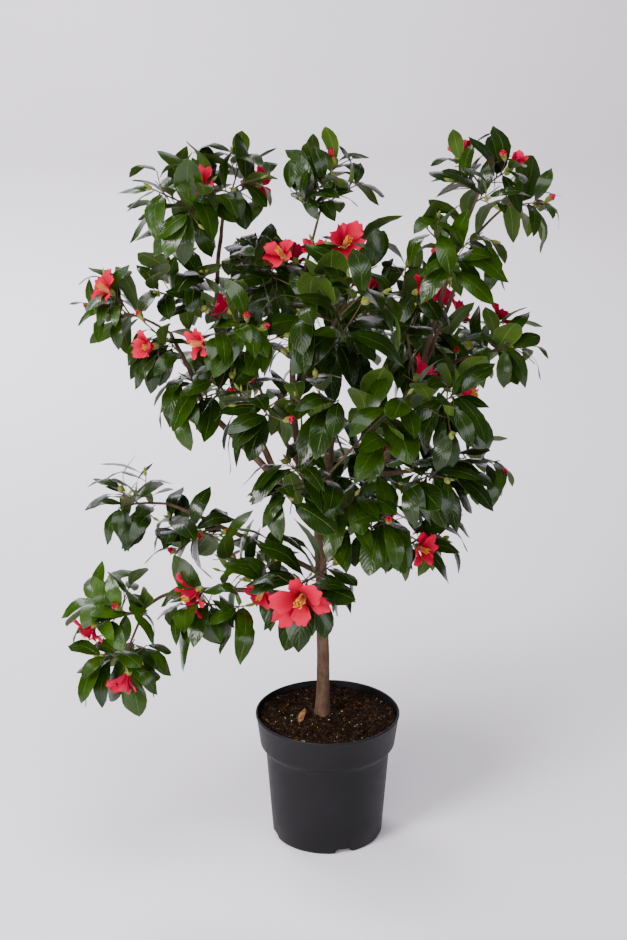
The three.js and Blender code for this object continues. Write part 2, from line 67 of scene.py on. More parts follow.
def addNode(tree, kind, settings=None, **inputs):
    # an input is a value, or a socket to link from; _ stands for a space and iN for the N-th input
    node = tree.nodes.new(kind)
    for name, value in (settings or {}).items():
        setattr(node, name, value)
    for name, value in inputs.items():
        numbered = name[0] == "i" and name[1:].isdigit()
        socket = node.inputs[int(name[1:]) if numbered else name.replace("_", " ")]
        if isinstance(value, bpy.types.NodeSocket):
            tree.links.new(value, socket)
        else:
            socket.default_value = value
    return node


def outOf(tree, kind, settings=None, **inputs):
    # the first output of a new node
    return addNode(tree, kind, settings, **inputs).outputs[0]


def calculated(tree, operation, *values, kind="ShaderNodeMath", **settings):
    # the result of a sum on values and sockets
    inputs = {"i%d" % i: value for i, value in enumerate(values)}
    return outOf(tree, kind, dict(settings, operation=operation), **inputs)


def ranged(tree, value, start, end, **ends):
    # a share that grows from 0 to 1, or between the ends given, as the value goes from start to end
    return outOf(tree, "ShaderNodeMapRange", Value=value, From_Min=start, From_Max=end, **ends)


def newMaterial(name, **shader):
    material = bpy.data.materials.new(name)
    material.use_nodes = True
    tree = material.node_tree
    tree.nodes.clear()
    surface = addNode(tree, "ShaderNodeBsdfPrincipled", **shader)
    addNode(tree, "ShaderNodeOutputMaterial", Surface=surface.outputs[0])
    return material, tree, surface


def colourRamp(tree, factor, stops):
    ramp = addNode(tree, "ShaderNodeValToRGB", Fac=factor)
    elements = ramp.color_ramp.elements
    while len(elements) < len(stops):
        elements.new(0.5)
    for element, (place, hexValue) in zip(elements, stops):
        element.position = place
        element.color = linearColour(hexValue)
    return ramp.outputs["Color"]


def noiseAt(tree, sizeMm, detail=3.0, roughness=0.55, stretch=(1, 1, 1)):
    # noise whose grains are about sizeMm across, on Object coordinates
    place = addNode(tree, "ShaderNodeTexCoord").outputs["Object"]
    mapped = outOf(tree, "ShaderNodeMapping", Vector=place, Scale=stretch)
    return outOf(tree, "ShaderNodeTexNoise", Vector=mapped, Scale=1 / (sizeMm * mm), Detail=detail,
                 Roughness=roughness)


def coloured(tree, surface, colour):
    tree.links.new(colour, surface.inputs["Base Color"])


def embossed(tree, surface, height, strength, distance):
    bump = outOf(tree, "ShaderNodeBump", Strength=strength, Distance=distance, Height=height)
    tree.links.new(bump, surface.inputs["Normal"])


def grainSkin(name, stops, grain, relief, strength, distance, **shader):
    # colours by one noise and a relief by another: each is a grain size in mm, a detail and a roughness
    material, tree, surface = newMaterial(name, **shader)
    coloured(tree, surface, colourRamp(tree, noiseAt(tree, *grain), stops))
    embossed(tree, surface, noiseAt(tree, *relief), strength, distance)
    return material


def pieceFrom(name, mesh):
    piece = bpy.data.objects.new(name, mesh)
    bpy.context.scene.collection.objects.link(piece)
    return piece


def meshFrom(name, points, faces, unitLength=1.0, edges=()):
    mesh = bpy.data.meshes.new(name)
    mesh.from_pydata([tuple(x * unitLength for x in p) for p in points], edges, faces)
    mesh.update()
    return mesh


def turnsOf(sides):
    return [fullTurn * k / sides for k in range(sides)]


def ringFaces(low, high, sides, flip=False):
    # quads between two rings of points, facing one way or the other
    pairs = [(k, (k + 1) % sides) for k in range(sides)]
    if flip:
        return [(low + k, low + n, high + n, high + k) for k, n in pairs]
    return [(low + k, high + k, high + n, low + n) for k, n in pairs]


def fanFaces(tip, ring, sides):
    return [(tip, ring + k, ring + (k + 1) % sides) for k in range(sides)]


def capFace(ring, sides, flip=False):
    face = range(ring, ring + sides)
    return tuple(reversed(face) if flip else face)


def faceOutward(mesh):
    # points that coincide are merged, and every face is turned outward
    shape = bmesh.new()
    shape.from_mesh(mesh)
    bmesh.ops.remove_doubles(shape, verts=shape.verts, dist=1e-6)
    bmesh.ops.recalc_face_normals(shape, faces=shape.faces)
    shape.to_mesh(mesh)
    shape.free()


def smooth(mesh):
    mesh.polygons.foreach_set("use_smooth", [True] * len(mesh.polygons))


def cover(mesh, material):
    mesh.materials.clear()
    mesh.materials.append(material)


def setAttribute(mesh, label, kind, values, domain="POINT"):
    field = "vector" if kind == "FLOAT_VECTOR" else "value"
    mesh.attributes.new(label, kind, domain).data.foreach_set(field, np.ravel(values).tolist())


def baked(piece, name):
    # the evaluated piece as a plain mesh on a new object, with the modifiers left behind
    depsgraph = bpy.context.evaluated_depsgraph_get()
    mesh = bpy.data.meshes.new_from_object(piece.evaluated_get(depsgraph))
    mesh.name = name
    bpy.data.objects.remove(piece)
    return pieceFrom(name, mesh)


def smoothstep(low, high, value):
    share = np.clip((value - low) / (high - low), 0, 1)
    return share * share * (3 - 2 * share)


def between(ends, share):
    return ends[0] + (ends[1] - ends[0]) * share


def unit(v):
    return v / np.linalg.norm(v)


def seededFrom(seed):
    # a repeatable row of numbers from 0 to 1
    state = [(seed * 7919 + 12345) & 0xFFFFFFFF]

    def following():
        state[0] = (state[0] * 1664525 + 1013904223) & 0xFFFFFFFF
        return state[0] / 4294967296

    for _ in range(4):
        following()
    return following


# the shrub's plan in millimetres, grown by the same rule as its solids

soilLevel = 212

trunkPlan = dict(foot=(-8, 10, soilLevel - 5), knee=(-9, 5, 380), tip=(-15, 0, 562), radii=(10.4, 9.4),
                 flare=(4.6, 24))

# each bough: its name, the limb that it leaves and where, its knee, its tip, its radii at root and tip
boughRows = [
    ("left_bough", "trunk", 0.97, (-112, -5, 666), (-200, -10, 762), (7.2, 4.6)),
    ("left_upper_bough", "left_bough", 0.98, (-219, -12, 822), (-246, -14, 880), (4.2, 3.2)),
    ("left_leader_bough", "left_bough", 0.3, (-138, 38, 765), (-178, 38, 915), (5.8, 4.2)),
    ("left_top_bough", "left_leader_bough", 0.98, (-170, 26, 1000), (-160, 10, 1068), (3.9, 3)),
    ("centre_leader_bough", "trunk", 0.99, (-56, 14, 760), (-34, 18, 985), (7.4, 3.6)),
    ("right_bough", "trunk", 0.93, (84, 0, 655), (143, 10, 800), (7.2, 4.8)),
    ("right_upper_bough", "right_bough", 0.99, (172, 8, 915), (206, 2, 1035), (4.4, 3.2)),
    ("right_twin_bough", "right_bough", 0.93, (190, 26, 920), (232, 26, 1030), (3.8, 2.9)),
    ("right_side_bough", "right_bough", 0.86, (185, 0, 818), (228, -4, 838), (3.8, 3)),
    ("right_low_bough", "right_bough", 0.45, (122, -26, 655), (188, -34, 672), (4.4, 3.2)),
    ("low_right_bough", "trunk", 0.8, (52, -32, 522), (106, -44, 528), (4.6, 3.2)),
    ("low_left_bough", "trunk", 0.62, (-118, -28, 450), (-212, -58, 464), (5.4, 3.8)),
    ("low_left_end_bough", "low_left_bough", 0.98, (-256, -70, 462), (-296, -80, 440), (3.5, 2.8)),
    ("mid_left_bough", "trunk", 0.74, (-92, 0, 512), (-170, 2, 548), (4.8, 3.8)),
    ("mid_left_end_bough", "mid_left_bough", 0.98, (-218, 2, 572), (-258, 0, 590), (3.5, 2.8)),
    ("front_bough", "trunk", 0.9, (-14, -50, 608), (-6, -92, 672), (4.8, 3.6)),
    ("front_upper_bough", "centre_leader_bough", 0.42, (-32, -42, 836), (0, -90, 900), (4, 3)),
    ("centre_left_bough", "centre_leader_bough", 0.2, (-80, -34, 734), (-104, -62, 798), (3.8, 3)),
    ("back_bough", "trunk", 0.95, (4, 70, 638), (10, 124, 708), (5.6, 3.6)),
    ("back_right_bough", "right_bough", 0.72, (146, 72, 784), (158, 116, 822), (3.8, 3)),
]

# each spray: its name, the limb that it meets and where, heart, reach, shoots, leaf length as a share of the
# usual, blooms as the number of a shoot and a size, and the tone of its leaves
sprayRows = [
    ("low_left_tip_spray", "low_left_end_bough", 1, (-332, -90, 434), 100, 5, 0.88, ((0, 0.7),), "young"),
    ("low_left_hanging_spray", "low_left_end_bough", 0.95, (-330, -104, 356), 100, 5, 0.82, ((1, 0.95),),
     "mid"),
    ("low_left_inner_spray", "low_left_bough", 1, (-182, -90, 446), 114, 5, 0.88, ((4, 1),), "mid"),
    ("mid_left_tip_spray", "mid_left_end_bough", 1, (-318, -4, 590), 88, 4, 0.9, (), "deep"),
    ("mid_left_inner_spray", "mid_left_bough", 1, (-218, 4, 532), 94, 4, 0.95, (), "deep"),
    ("low_inner_spray", "trunk", 0.66, (-116, -48, 486), 116, 5, 0.95, ((1, 0.6),), "mid"),
    ("left_tip_spray", "left_upper_bough", 1, (-318, -14, 912), 90, 5, 0.82, ((4, 0.75),), "mid"),
    ("left_low_spray", "left_upper_bough", 0.93, (-250, -40, 874), 98, 5, 0.95, ((2, 0.7),), "deep"),
    ("left_under_spray", "left_bough", 0.94, (-192, -30, 792), 102, 4, 1, (), "mid"),
    ("left_shoulder_spray", "left_top_bough", 0.94, (-222, -34, 1090), 104, 5, 0.95, ((4, 0.75),), "mid"),
    ("left_top_spray", "left_top_bough", 1, (-148, 38, 1098), 96, 4, 0.88, ((0, 0.75),), "deep"),
    ("left_inner_spray", "left_leader_bough", 0.9, (-230, -14, 940), 104, 4, 1, ((1, 0.7),), "deep"),
    ("top_spray", "centre_leader_bough", 1, (-4, 4, 1104), 94, 5, 0.82, ((4, 0.6),), "deep"),
    ("centre_top_spray", "centre_leader_bough", 0.94, (-94, 14, 966), 108, 5, 1, ((2, 0.7), (4, 0.8)),
     "deep"),
    ("centre_spray", "front_upper_bough", 1, (44, -30, 990), 112, 5, 1, ((1, 0.7), (4, 1)), "deep"),
    ("front_spray", "front_upper_bough", 0.95, (10, -160, 945), 124, 4, 1.2, (), "deep"),
    ("centre_left_spray", "centre_left_bough", 1, (-128, -95, 893), 112, 4, 1.05, ((0, 0.75), (2, 0.9)),
     "mid"),
    ("centre_left_low_spray", "centre_left_bough", 0.94, (-98, -115, 785), 112, 4, 1.1, (), "deep"),
    ("front_middle_spray", "front_bough", 1, (-10, -150, 808), 112, 4, 1.15, (), "deep"),
    ("front_right_spray", "front_bough", 0.93, (72, -140, 777), 122, 4, 1.15, (), "mid"),
    ("front_low_spray", "front_bough", 0.87, (-40, -145, 684), 106, 4, 1.1, (), "deep"),
    ("foot_spray", "trunk", 0.74, (-44, -116, 500), 108, 5, 1.15, ((1, 1.35),), "deep"),
    ("inner_right_spray", "right_bough", 0.95, (112, 6, 930), 118, 4, 1, ((0, 0.9), (1, 0.7), (2, 1.15)),
     "deep"),
    ("right_top_spray", "right_upper_bough", 1, (234, 0, 1110), 98, 5, 0.92, ((3, 0.7), (4, 0.7)), "deep"),
    ("right_crown_spray", "right_twin_bough", 1, (286, 26, 1080), 92, 4, 0.92, (), "mid"),
    ("right_shoulder_spray", "right_upper_bough", 0.92, (188, -50, 1014), 108, 4, 1.05, ((0, 0.7),), "mid"),
    ("right_tip_spray", "right_side_bough", 1, (264, 0, 850), 84, 4, 0.88, ((3, 0.5),), "mid"),
    ("right_front_spray", "right_side_bough", 0.85, (157, -112, 789), 118, 5, 1, ((1, 1), (4, 0.8)), "deep"),
    ("right_low_spray", "right_low_bough", 1, (226, -34, 670), 90, 4, 0.95, (), "mid"),
    ("right_low_inner_spray", "right_low_bough", 0.86, (156, -106, 670), 110, 5, 0.95, (), "deep"),
    ("low_right_spray", "low_right_bough", 0.8, (62, -112, 602), 112, 5, 1, (), "mid"),
    ("low_right_tip_spray", "low_right_bough", 1, (146, -36, 546), 86, 4, 0.92, ((0, 0.9),), "mid"),
    ("back_left_spray", "left_leader_bough", 0.62, (-124, 165, 878), 128, 5, 1, ((4, 0.8),), "deep"),
    ("back_left_low_spray", "left_bough", 0.62, (-160, 138, 762), 104, 4, 1, ((0, 0.7),), "mid"),
    ("back_spray", "back_bough", 1, (-6, 190, 789), 128, 4, 1, ((3, 0.8),), "deep"),
    ("back_low_spray", "back_bough", 0.8, (38, 162, 588), 122, 4, 1, ((1, 0.7),), "deep"),
    ("back_right_spray", "back_right_bough", 1, (172, 176, 800), 124, 5, 1, ((4, 0.7),), "mid"),
]

growth = dict(
    lengthSteps=60,  # straight steps by which the length of a limb is measured
    turn=137.5 * degree,  # from one shoot or leaf to the next, round the stem
    stemRadii=(2.3, 1.7),
    stemOnward=0.1,  # how far a stem's knee is carried on along its limb, as a share of its length
    shootRadii=(1.5, 0.9),
    shootSpan=(0.5, 0.98),  # shares of the stem between which the shoots stand
    shootSpread=(0.43, 0.62),  # how far the shoots' tips stand off the heart, as shares of the reach
    shootOnward=0.06,
    shootTurn=(-0.4, 0.4),
    shootRise=(-0.25, 0.8),
    riseStrays=(-0.15, 0.15),
    shootRoom=(0.5, 1),  # mm kept from the edge of the spray's space and from other limbs
    leavesPerShoot=6,
    leavesPerTwig=3,
    leafSpan=(0.15, 0.96),  # shares of a shoot between which its leaves stand
    leafCrowding=1.25,  # above 1, they stand closer toward its tip
    bloomAt=0.97,
    tries=9,  # a leaf without room is turned on and shortened, this many times at most
    turnOn=0.9,
    shortening=0.045,
    room=0.6)

twigPlan = dict(
    perShoot=2,
    at=(0.25, 0.3, 0.1),  # the first one's share of the shoot, the step to the next, and how far it strays
    length=0.6,  # as a share of its shoot's length
    lengths=(0.7, 1.2),
    onward=0.8,
    rise=0.25,
    knee=3,
    tipRadius=0.75,
    room=(2, 1.5))

leafPlan = dict(
    length=98,
    sizes=(0.8, 1.16),
    width=0.45,
    shoulders=(0.3, 0.66),
    shoulderWidths=(0.94, 0.84),
    arch=0.08,
    lean=(86, 56),  # degrees between a leaf and its shoot, at the shoot's foot and tip
    leanStrays=(-8, 8),
    droop=(0.05, 0.55),
    faceOnward=0.5,
    marks=(0.35, 0.55, 0.75, 0.97),
    limbRoom=1.2,
    leafRoom=3.5,
    rootShare=0.16)

bloomPlan = dict(
    radius=33,
    depth=30,
    outward=0.9,
    fits=(1, 0.88, 0.76, 0.64),
    rim=12,
    room=1,
    beyond=6,  # mm by which a bloom's rim may pass out of its spray's space
    bead=(0.7, 0.6))  # the ball that leaves keep clear of: how far out and how big, as shares of the bloom

upward = np.array([0.0, 0.0, 1.0])


def acrossOf(heading, level=None):
    # two unit vectors square to a heading, the first as near as can be to a level one
    side = np.cross(heading, upward) if level is None else level.copy()
    side = side - heading * np.dot(side, heading)
    if np.linalg.norm(side) < 1e-3:
        side = np.array([1.0, 0.0, 0.0])
    side = unit(side)
    return side, unit(np.cross(side, heading))


def around(side, over, turn):
    return side * math.cos(turn) + over * math.sin(turn)


def limbOf(foot, knee, tip, radii, flare=None):
    # a tapering limb on a curve through its knee
    foot, knee, tip = (np.array(p, float) for p in (foot, knee, tip))
    limb = dict(foot=foot, bend=2 * knee - 0.5 * (foot + tip), tip=tip, radii=radii, flare=flare)
    limb["level"] = acrossOf(unit(tip - foot))[0]
    line = pointsOn(limb, np.linspace(0, 1, growth["lengthSteps"]))
    limb["length"] = float(np.linalg.norm(np.diff(line, axis=0), axis=1).sum())
    return limb


def pointsOn(limb, shares):
    t = np.asarray(shares, float).reshape(-1, 1)
    return (1 - t) ** 2 * limb["foot"] + 2 * (1 - t) * t * limb["bend"] + t ** 2 * limb["tip"]


def pointOn(limb, share):
    return pointsOn(limb, [share])[0]


def headingOn(limb, share):
    return unit((1 - share) * (limb["bend"] - limb["foot"]) + share * (limb["tip"] - limb["bend"]))


def radiusOn(limb, share):
    first, last = limb["radii"]
    swell = limb["flare"][0] * np.exp(-share * limb["length"] / limb["flare"][1]) if limb["flare"] else 0
    return first + (last - first) * share + swell


def lineOf(limb, count):
    shares = np.linspace(0, 1, count)
    return pointsOn(limb, shares), [radiusOn(limb, s) for s in shares]


def beadsOn(limb, spacing=5):
    # rows of x, y, z and radius along a limb
    return np.column_stack(lineOf(limb, int(math.ceil(limb["length"] / spacing)) + 1))


def inSpace(spray, points, room=growth["room"]):
    # a spray keeps to a ball round its heart, cut off by planes halfway to its neighbours
    points = np.atleast_2d(points)
    own = np.linalg.norm(points - spray["heart"], axis=1)
    if (own > spray["reach"] - room).any():
        return False
    for heart, reach, apart in spray["neighbours"]:
        other = np.linalg.norm(points - heart, axis=1)
        if ((other ** 2 - reach ** 2 - own ** 2 + spray["reach"] ** 2) / (2 * apart) <= room).any():
            return False
    return True


def clearOfBeads(points, radii, beads):
    points = np.atleast_2d(points)
    away = np.linalg.norm(beads[None, :, :3] - points[:, None, :], axis=2)
    return bool((away > beads[None, :, 3] + np.reshape(radii, (-1, 1))).all())


def growShoot(spray, index, random):
    place = (index + 0.5) / spray["shoots"]
    foot = pointOn(spray["stem"], between(growth["shootSpan"], place))
    turn = index * growth["turn"] + spray["firstTurn"] + between(growth["shootTurn"], random())
    climb = between(growth["shootRise"], place) + between(growth["riseStrays"], random())
    level = math.sqrt(max(0, 1 - climb * climb))
    spread = spray["reach"] * between(growth["shootSpread"], random())
    away = np.array([math.cos(turn) * level, math.sin(turn) * level, climb])
    tip = spray["heart"] + away * spread
    onward = headingOn(spray["stem"], 1) * growth["shootOnward"]
    return limbOf(foot, (foot + tip) / 2 + onward * np.linalg.norm(tip - foot), tip, growth["shootRadii"])


def growTwig(shoot, index, random):
    # a short side twig, carried on from a shoot
    first, step, strays = twigPlan["at"]
    at = first + step * index + strays * random()
    heading = headingOn(shoot, at)
    spread = around(*acrossOf(heading, shoot["level"]), random() * fullTurn)
    way = unit(heading * twigPlan["onward"] + spread + upward * twigPlan["rise"])
    foot = pointOn(shoot, at)
    tip = foot + way * shoot["length"] * twigPlan["length"] * between(twigPlan["lengths"], random())
    knee = (foot + tip) / 2 + heading * twigPlan["knee"]
    return limbOf(foot, knee, tip, (growth["shootRadii"][1], twigPlan["tipRadius"]))


def leafCandidate(shoot, at, turn, length, random):
    heading = headingOn(shoot, at)
    side, over = acrossOf(heading, shoot["level"])
    lean = (between(leafPlan["lean"], at) + between(leafPlan["leanStrays"], random())) * degree
    droop = between(leafPlan["droop"], random())
    along = unit(heading * math.cos(lean) + around(side, over, turn) * math.sin(lean) - upward * droop)
    face = heading * leafPlan["faceOnward"] + upward
    face = unit(face - along * np.dot(face, along))
    return dict(base=pointOn(shoot, at), along=along, face=face, across=np.cross(along, face), length=length,
                width=length * leafPlan["width"])


def onMidrib(leaf, share, rise=1.0):
    return leaf["base"] + (leaf["along"] * share + leaf["face"] * leafPlan["arch"] * rise) * leaf["length"]


def leafCorners(leaf):
    corners = [leaf["base"], leaf["base"] + leaf["along"] * leaf["length"]]
    for share, width in zip(leafPlan["shoulders"], leafPlan["shoulderWidths"]):
        aside = leaf["across"] * leaf["width"] * width / 2
        corners += [onMidrib(leaf, share) - aside, onMidrib(leaf, share) + aside]
    return np.array(corners)


def marksOf(leaf):
    # points on a leaf's midrib and shoulders, for the tests against other leaves
    marks = [onMidrib(leaf, share, math.sin(math.pi * share)) for share in leafPlan["marks"]]
    points = np.vstack([marks, leafCorners(leaf)[2:]])
    return np.column_stack([points, np.zeros(len(points))])


def leafIsClear(leaf, beads, room):
    # true where no bead lies in the slab of space that the leaf takes
    offset = beads[:, :3] - leaf["base"]
    radius = beads[:, 3] + room
    share = offset @ leaf["along"] / leaf["length"]
    bow = np.sin(np.pi * np.clip(share, 0, 1))
    hit = (share > leafPlan["rootShare"]) & (share < 1 + radius / leaf["length"])
    hit &= np.abs(offset @ leaf["across"]) < leaf["width"] / 2 * bow + radius
    hit &= np.abs(offset @ leaf["face"] - leafPlan["arch"] * leaf["length"] * bow) < radius
    return not hit.any()


def growBloom(spray, shoot, size, otherBeads):
    # a bloom faces outward from the shrub and is made smaller until its rim fits the spray's space
    away = unit(spray["heart"] * np.array([1, 1, 0]))
    face = unit(headingOn(shoot, 1) + away * bloomPlan["outward"])
    centre = pointOn(shoot, growth["bloomAt"])
    side, over = acrossOf(face)
    turns = turnsOf(bloomPlan["rim"])
    for share in bloomPlan["fits"]:
        radius, depth = bloomPlan["radius"] * size * share, bloomPlan["depth"] * size * share
        rim = centre + face * depth + radius * (np.outer(np.cos(turns), side) + np.outer(np.sin(turns), over))
        if inSpace(spray, rim, -bloomPlan["beyond"]) and clearOfBeads(rim, bloomPlan["room"], otherBeads):
            return dict(centre=centre, face=face, radius=radius, depth=depth)
    return None


def placeLeaves(spray, limb, count, random, kept, otherBeads, ownBeads):
    first = random() * fullTurn
    room, limbRoom = leafPlan["leafRoom"], leafPlan["limbRoom"]
    for i in range(count):
        at = between(growth["leafSpan"], 1 - (1 - i / max(1, count - 1)) ** growth["leafCrowding"])
        turn = first + (i + 1) * growth["turn"]
        for attempt in range(growth["tries"]):
            size = between(leafPlan["sizes"], random()) * (1 - growth["shortening"] * attempt)
            length = leafPlan["length"] * spray["leaf"] * size
            leaf = leafCandidate(limb, at, turn + attempt * growth["turnOn"], length, random)
            if not inSpace(spray, leafCorners(leaf)):
                continue
            if not (leafIsClear(leaf, otherBeads, limbRoom) and leafIsClear(leaf, ownBeads, limbRoom)):
                continue
            marks = marksOf(leaf)
            if all(leafIsClear(leaf, m, room) and leafIsClear(o, marks, room) for o, m in kept):
                kept.append((leaf, marks))
                break


def growSpray(spray, index, otherBeads):
    random = seededFrom(index + 1)
    spray["firstTurn"] = random() * fullTurn
    shoots, twigs, blooms, tips = [], [], [], []
    edgeRoom, limbRoom = growth["shootRoom"]
    for number in range(spray["shoots"]):
        shoot = growShoot(spray, number, random)
        beads = beadsOn(shoot)
        inside = all(inSpace(spray, bead[:3], bead[3] + edgeRoom) for bead in beads)
        if inside and clearOfBeads(beads[:, :3], beads[:, 3] + limbRoom, otherBeads):
            shoots.append(dict(shoot, number=number))
    edgeRoom, limbRoom = twigPlan["room"]
    for shoot in shoots:
        size = dict(spray["blooms"]).get(shoot["number"])
        bloom = growBloom(spray, shoot, size, otherBeads) if size else None
        if bloom:
            blooms.append(bloom)
        else:
            tips.append((pointOn(shoot, 1), headingOn(shoot, 1)))
        for j in range(twigPlan["perShoot"]):
            twig = growTwig(shoot, j, random)
            line = beadsOn(twig)[:, :3]
            if inSpace(spray, line, edgeRoom) and clearOfBeads(line, limbRoom, otherBeads):
                twigs.append(twig)
                tips.append((pointOn(twig, 1), headingOn(twig, 1)))
    ownBeads = [beadsOn(limb) for limb in [spray["stem"], *shoots, *twigs]]
    out, swell = bloomPlan["bead"]
    for bloom in blooms:
        middle = bloom["centre"] + bloom["face"] * bloom["depth"] * out
        ownBeads.append([*middle, bloom["radius"] * swell])
    ownBeads = np.vstack(ownBeads)
    kept = []
    for limb in shoots:
        placeLeaves(spray, limb, growth["leavesPerShoot"], random, kept, otherBeads, ownBeads)
    for limb in twigs:
        placeLeaves(spray, limb, growth["leavesPerTwig"], random, kept, otherBeads, ownBeads)
    return dict(shoots=shoots, twigs=twigs, blooms=blooms, tips=tips, leaves=[leaf for leaf, _ in kept])


limbs = {"trunk": limbOf(**trunkPlan)}
for name, parent, at, knee, tip, radii in boughRows:
    limbs[name] = limbOf(pointOn(limbs[parent], at), knee, tip, radii)

sprays = []
for name, parent, at, heart, reach, shoots, leaf, blooms, tone in sprayRows:
    foot = pointOn(limbs[parent], at)
    heart = np.array(heart, float)
    onward = growth["stemOnward"] * np.linalg.norm(heart - foot) if at == 1 else 0
    knee = (foot + heart) / 2 + headingOn(limbs[parent], at) * onward
    stem = limbOf(foot, knee, heart, growth["stemRadii"])
    sprays.append(dict(name=name, heart=heart, reach=reach, shoots=shoots, leaf=leaf, blooms=blooms,
                       tone=tone, stem=stem))
for spray in sprays:
    spray["neighbours"] = [(other["heart"], other["reach"], np.linalg.norm(other["heart"] - spray["heart"]))
                           for other in sprays if other is not spray]

limbBeads = np.vstack([beadsOn(limb) for limb in limbs.values()])
stemBeads = [beadsOn(spray["stem"]) for spray in sprays]
for index, spray in enumerate(sprays):
    others = np.vstack([limbBeads] + [beads for i, beads in enumerate(stemBeads) if i != index])
    spray["plan"] = growSpray(spray, index, others)
leafCount = sum(len(spray["plan"]["leaves"]) for spray in sprays)
bloomCount = sum(len(spray["plan"]["blooms"]) for spray in sprays)
print("grown:", len(sprays), "sprays,", leafCount, "leaves,", bloomCount, "blooms")


# trees of Geometry Nodes

def startTree(name, inputs):
    tree = bpy.data.node_groups.new(name, "GeometryNodeTree")
    tree.interface.new_socket("Geometry", in_out="INPUT", socket_type="NodeSocketGeometry")
    for label, kind in inputs.items():
        tree.interface.new_socket(label, in_out="INPUT", socket_type="NodeSocket" + kind)
    tree.interface.new_socket("Geometry", in_out="OUTPUT", socket_type="NodeSocketGeometry")
    return tree, addNode(tree, "NodeGroupInput").outputs


def stored(tree, name, kind):
    return outOf(tree, "GeometryNodeInputNamedAttribute", {"data_type": kind}, Name=name)


def standShapes(tree, shapes, points, **turned):
    # one of a collection's shapes on each point
    shelf = outOf(tree, "GeometryNodeCollectionInfo", {"transform_space": "ORIGINAL"}, Collection=shapes,
                  Separate_Children=True, Reset_Children=True)
    return outOf(tree, "GeometryNodeInstanceOnPoints", Points=points, Instance=shelf, Pick_Instance=True,
                 **turned)


def endTree(tree, geometry, upper, under=None):
    # everything made real and given its material, and the faces marked as underside a second one
    made = outOf(tree, "GeometryNodeRealizeInstances", Geometry=geometry)
    made = outOf(tree, "GeometryNodeSetMaterial", Geometry=made, Material=upper)
    if under is not None:
        made = outOf(tree, "GeometryNodeSetMaterial", Geometry=made, Material=under,
                     Selection=stored(tree, "underside", "BOOLEAN"))
    addNode(tree, "NodeGroupOutput", Geometry=made)
    return tree


def applyTree(piece, tree, name, **values):
    # inputs are set by the socket's identifier before the piece is first evaluated
    modifier = piece.modifiers.new(name, "NODES")
    modifier.node_group = tree
    sockets = {item.name: item.identifier for item in tree.interface.items_tree
               if item.item_type == "SOCKET" and item.in_out == "INPUT"}
    for label, value in values.items():
        modifier[sockets[label]] = value
    return baked(piece, name)


def plantingTree():
    # stands one of a collection's shapes at each point, by the point's own attributes
    tree, given = startTree("planting", {"Shapes": "Collection", "Scale": "Float", "Upper": "Material",
                                         "Under": "Material"})
    turn = outOf(tree, "FunctionNodeAxesToRotation", {"primary_axis": "Y", "secondary_axis": "Z"},
                 Primary_Axis=stored(tree, "along", "FLOAT_VECTOR"),
                 Secondary_Axis=stored(tree, "face", "FLOAT_VECTOR"))
    size = calculated(tree, "MULTIPLY", stored(tree, "size", "FLOAT"), given["Scale"])
    stood = standShapes(tree, given["Shapes"], given["Geometry"], Instance_Index=stored(tree, "kind", "INT"),
                        Rotation=turn, Scale=size)
    return endTree(tree, stood, given["Upper"], given["Under"])


def twigTree():
    # a closed tube along each line, as thick as its points say
    tree, given = startTree("twigs", {"Sides": "Int", "Bark": "Material"})
    curve = outOf(tree, "GeometryNodeMeshToCurve", Mesh=given["Geometry"])
    ring = outOf(tree, "GeometryNodeCurvePrimitiveCircle", Resolution=given["Sides"], Radius=1.0)
    tube = outOf(tree, "GeometryNodeCurveToMesh", Curve=curve, Profile_Curve=ring,
                 Scale=stored(tree, "thick", "FLOAT"), Fill_Caps=True)
    return endTree(tree, tube, given["Bark"])


planting = plantingTree()
twigging = twigTree()


def planted(name, rows, shapes, upper, under, scale=1.0):
    # rows hold a point in millimetres, along, face, size in millimetres and the shape's number
    places, along, face, sizes, kinds = zip(*rows)
    mesh = meshFrom(name + "Points", places, [], mm)
    setAttribute(mesh, "along", "FLOAT_VECTOR", along)
    setAttribute(mesh, "face", "FLOAT_VECTOR", face)
    setAttribute(mesh, "size", "FLOAT", np.array(sizes) * mm)
    setAttribute(mesh, "kind", "INT", kinds)
    return applyTree(pieceFrom(name + "Points", mesh), planting, name, Shapes=shapes, Scale=scale,
                     Upper=upper, Under=under)


def shapeShelf(name, meshes):
    # the shapes to plant, kept in a collection that isn't in the scene
    shelf = bpy.data.collections.new(name)
    for i, mesh in enumerate(meshes):
        shelf.objects.link(bpy.data.objects.new("%s%02d" % (name, i), mesh))
    return shelf


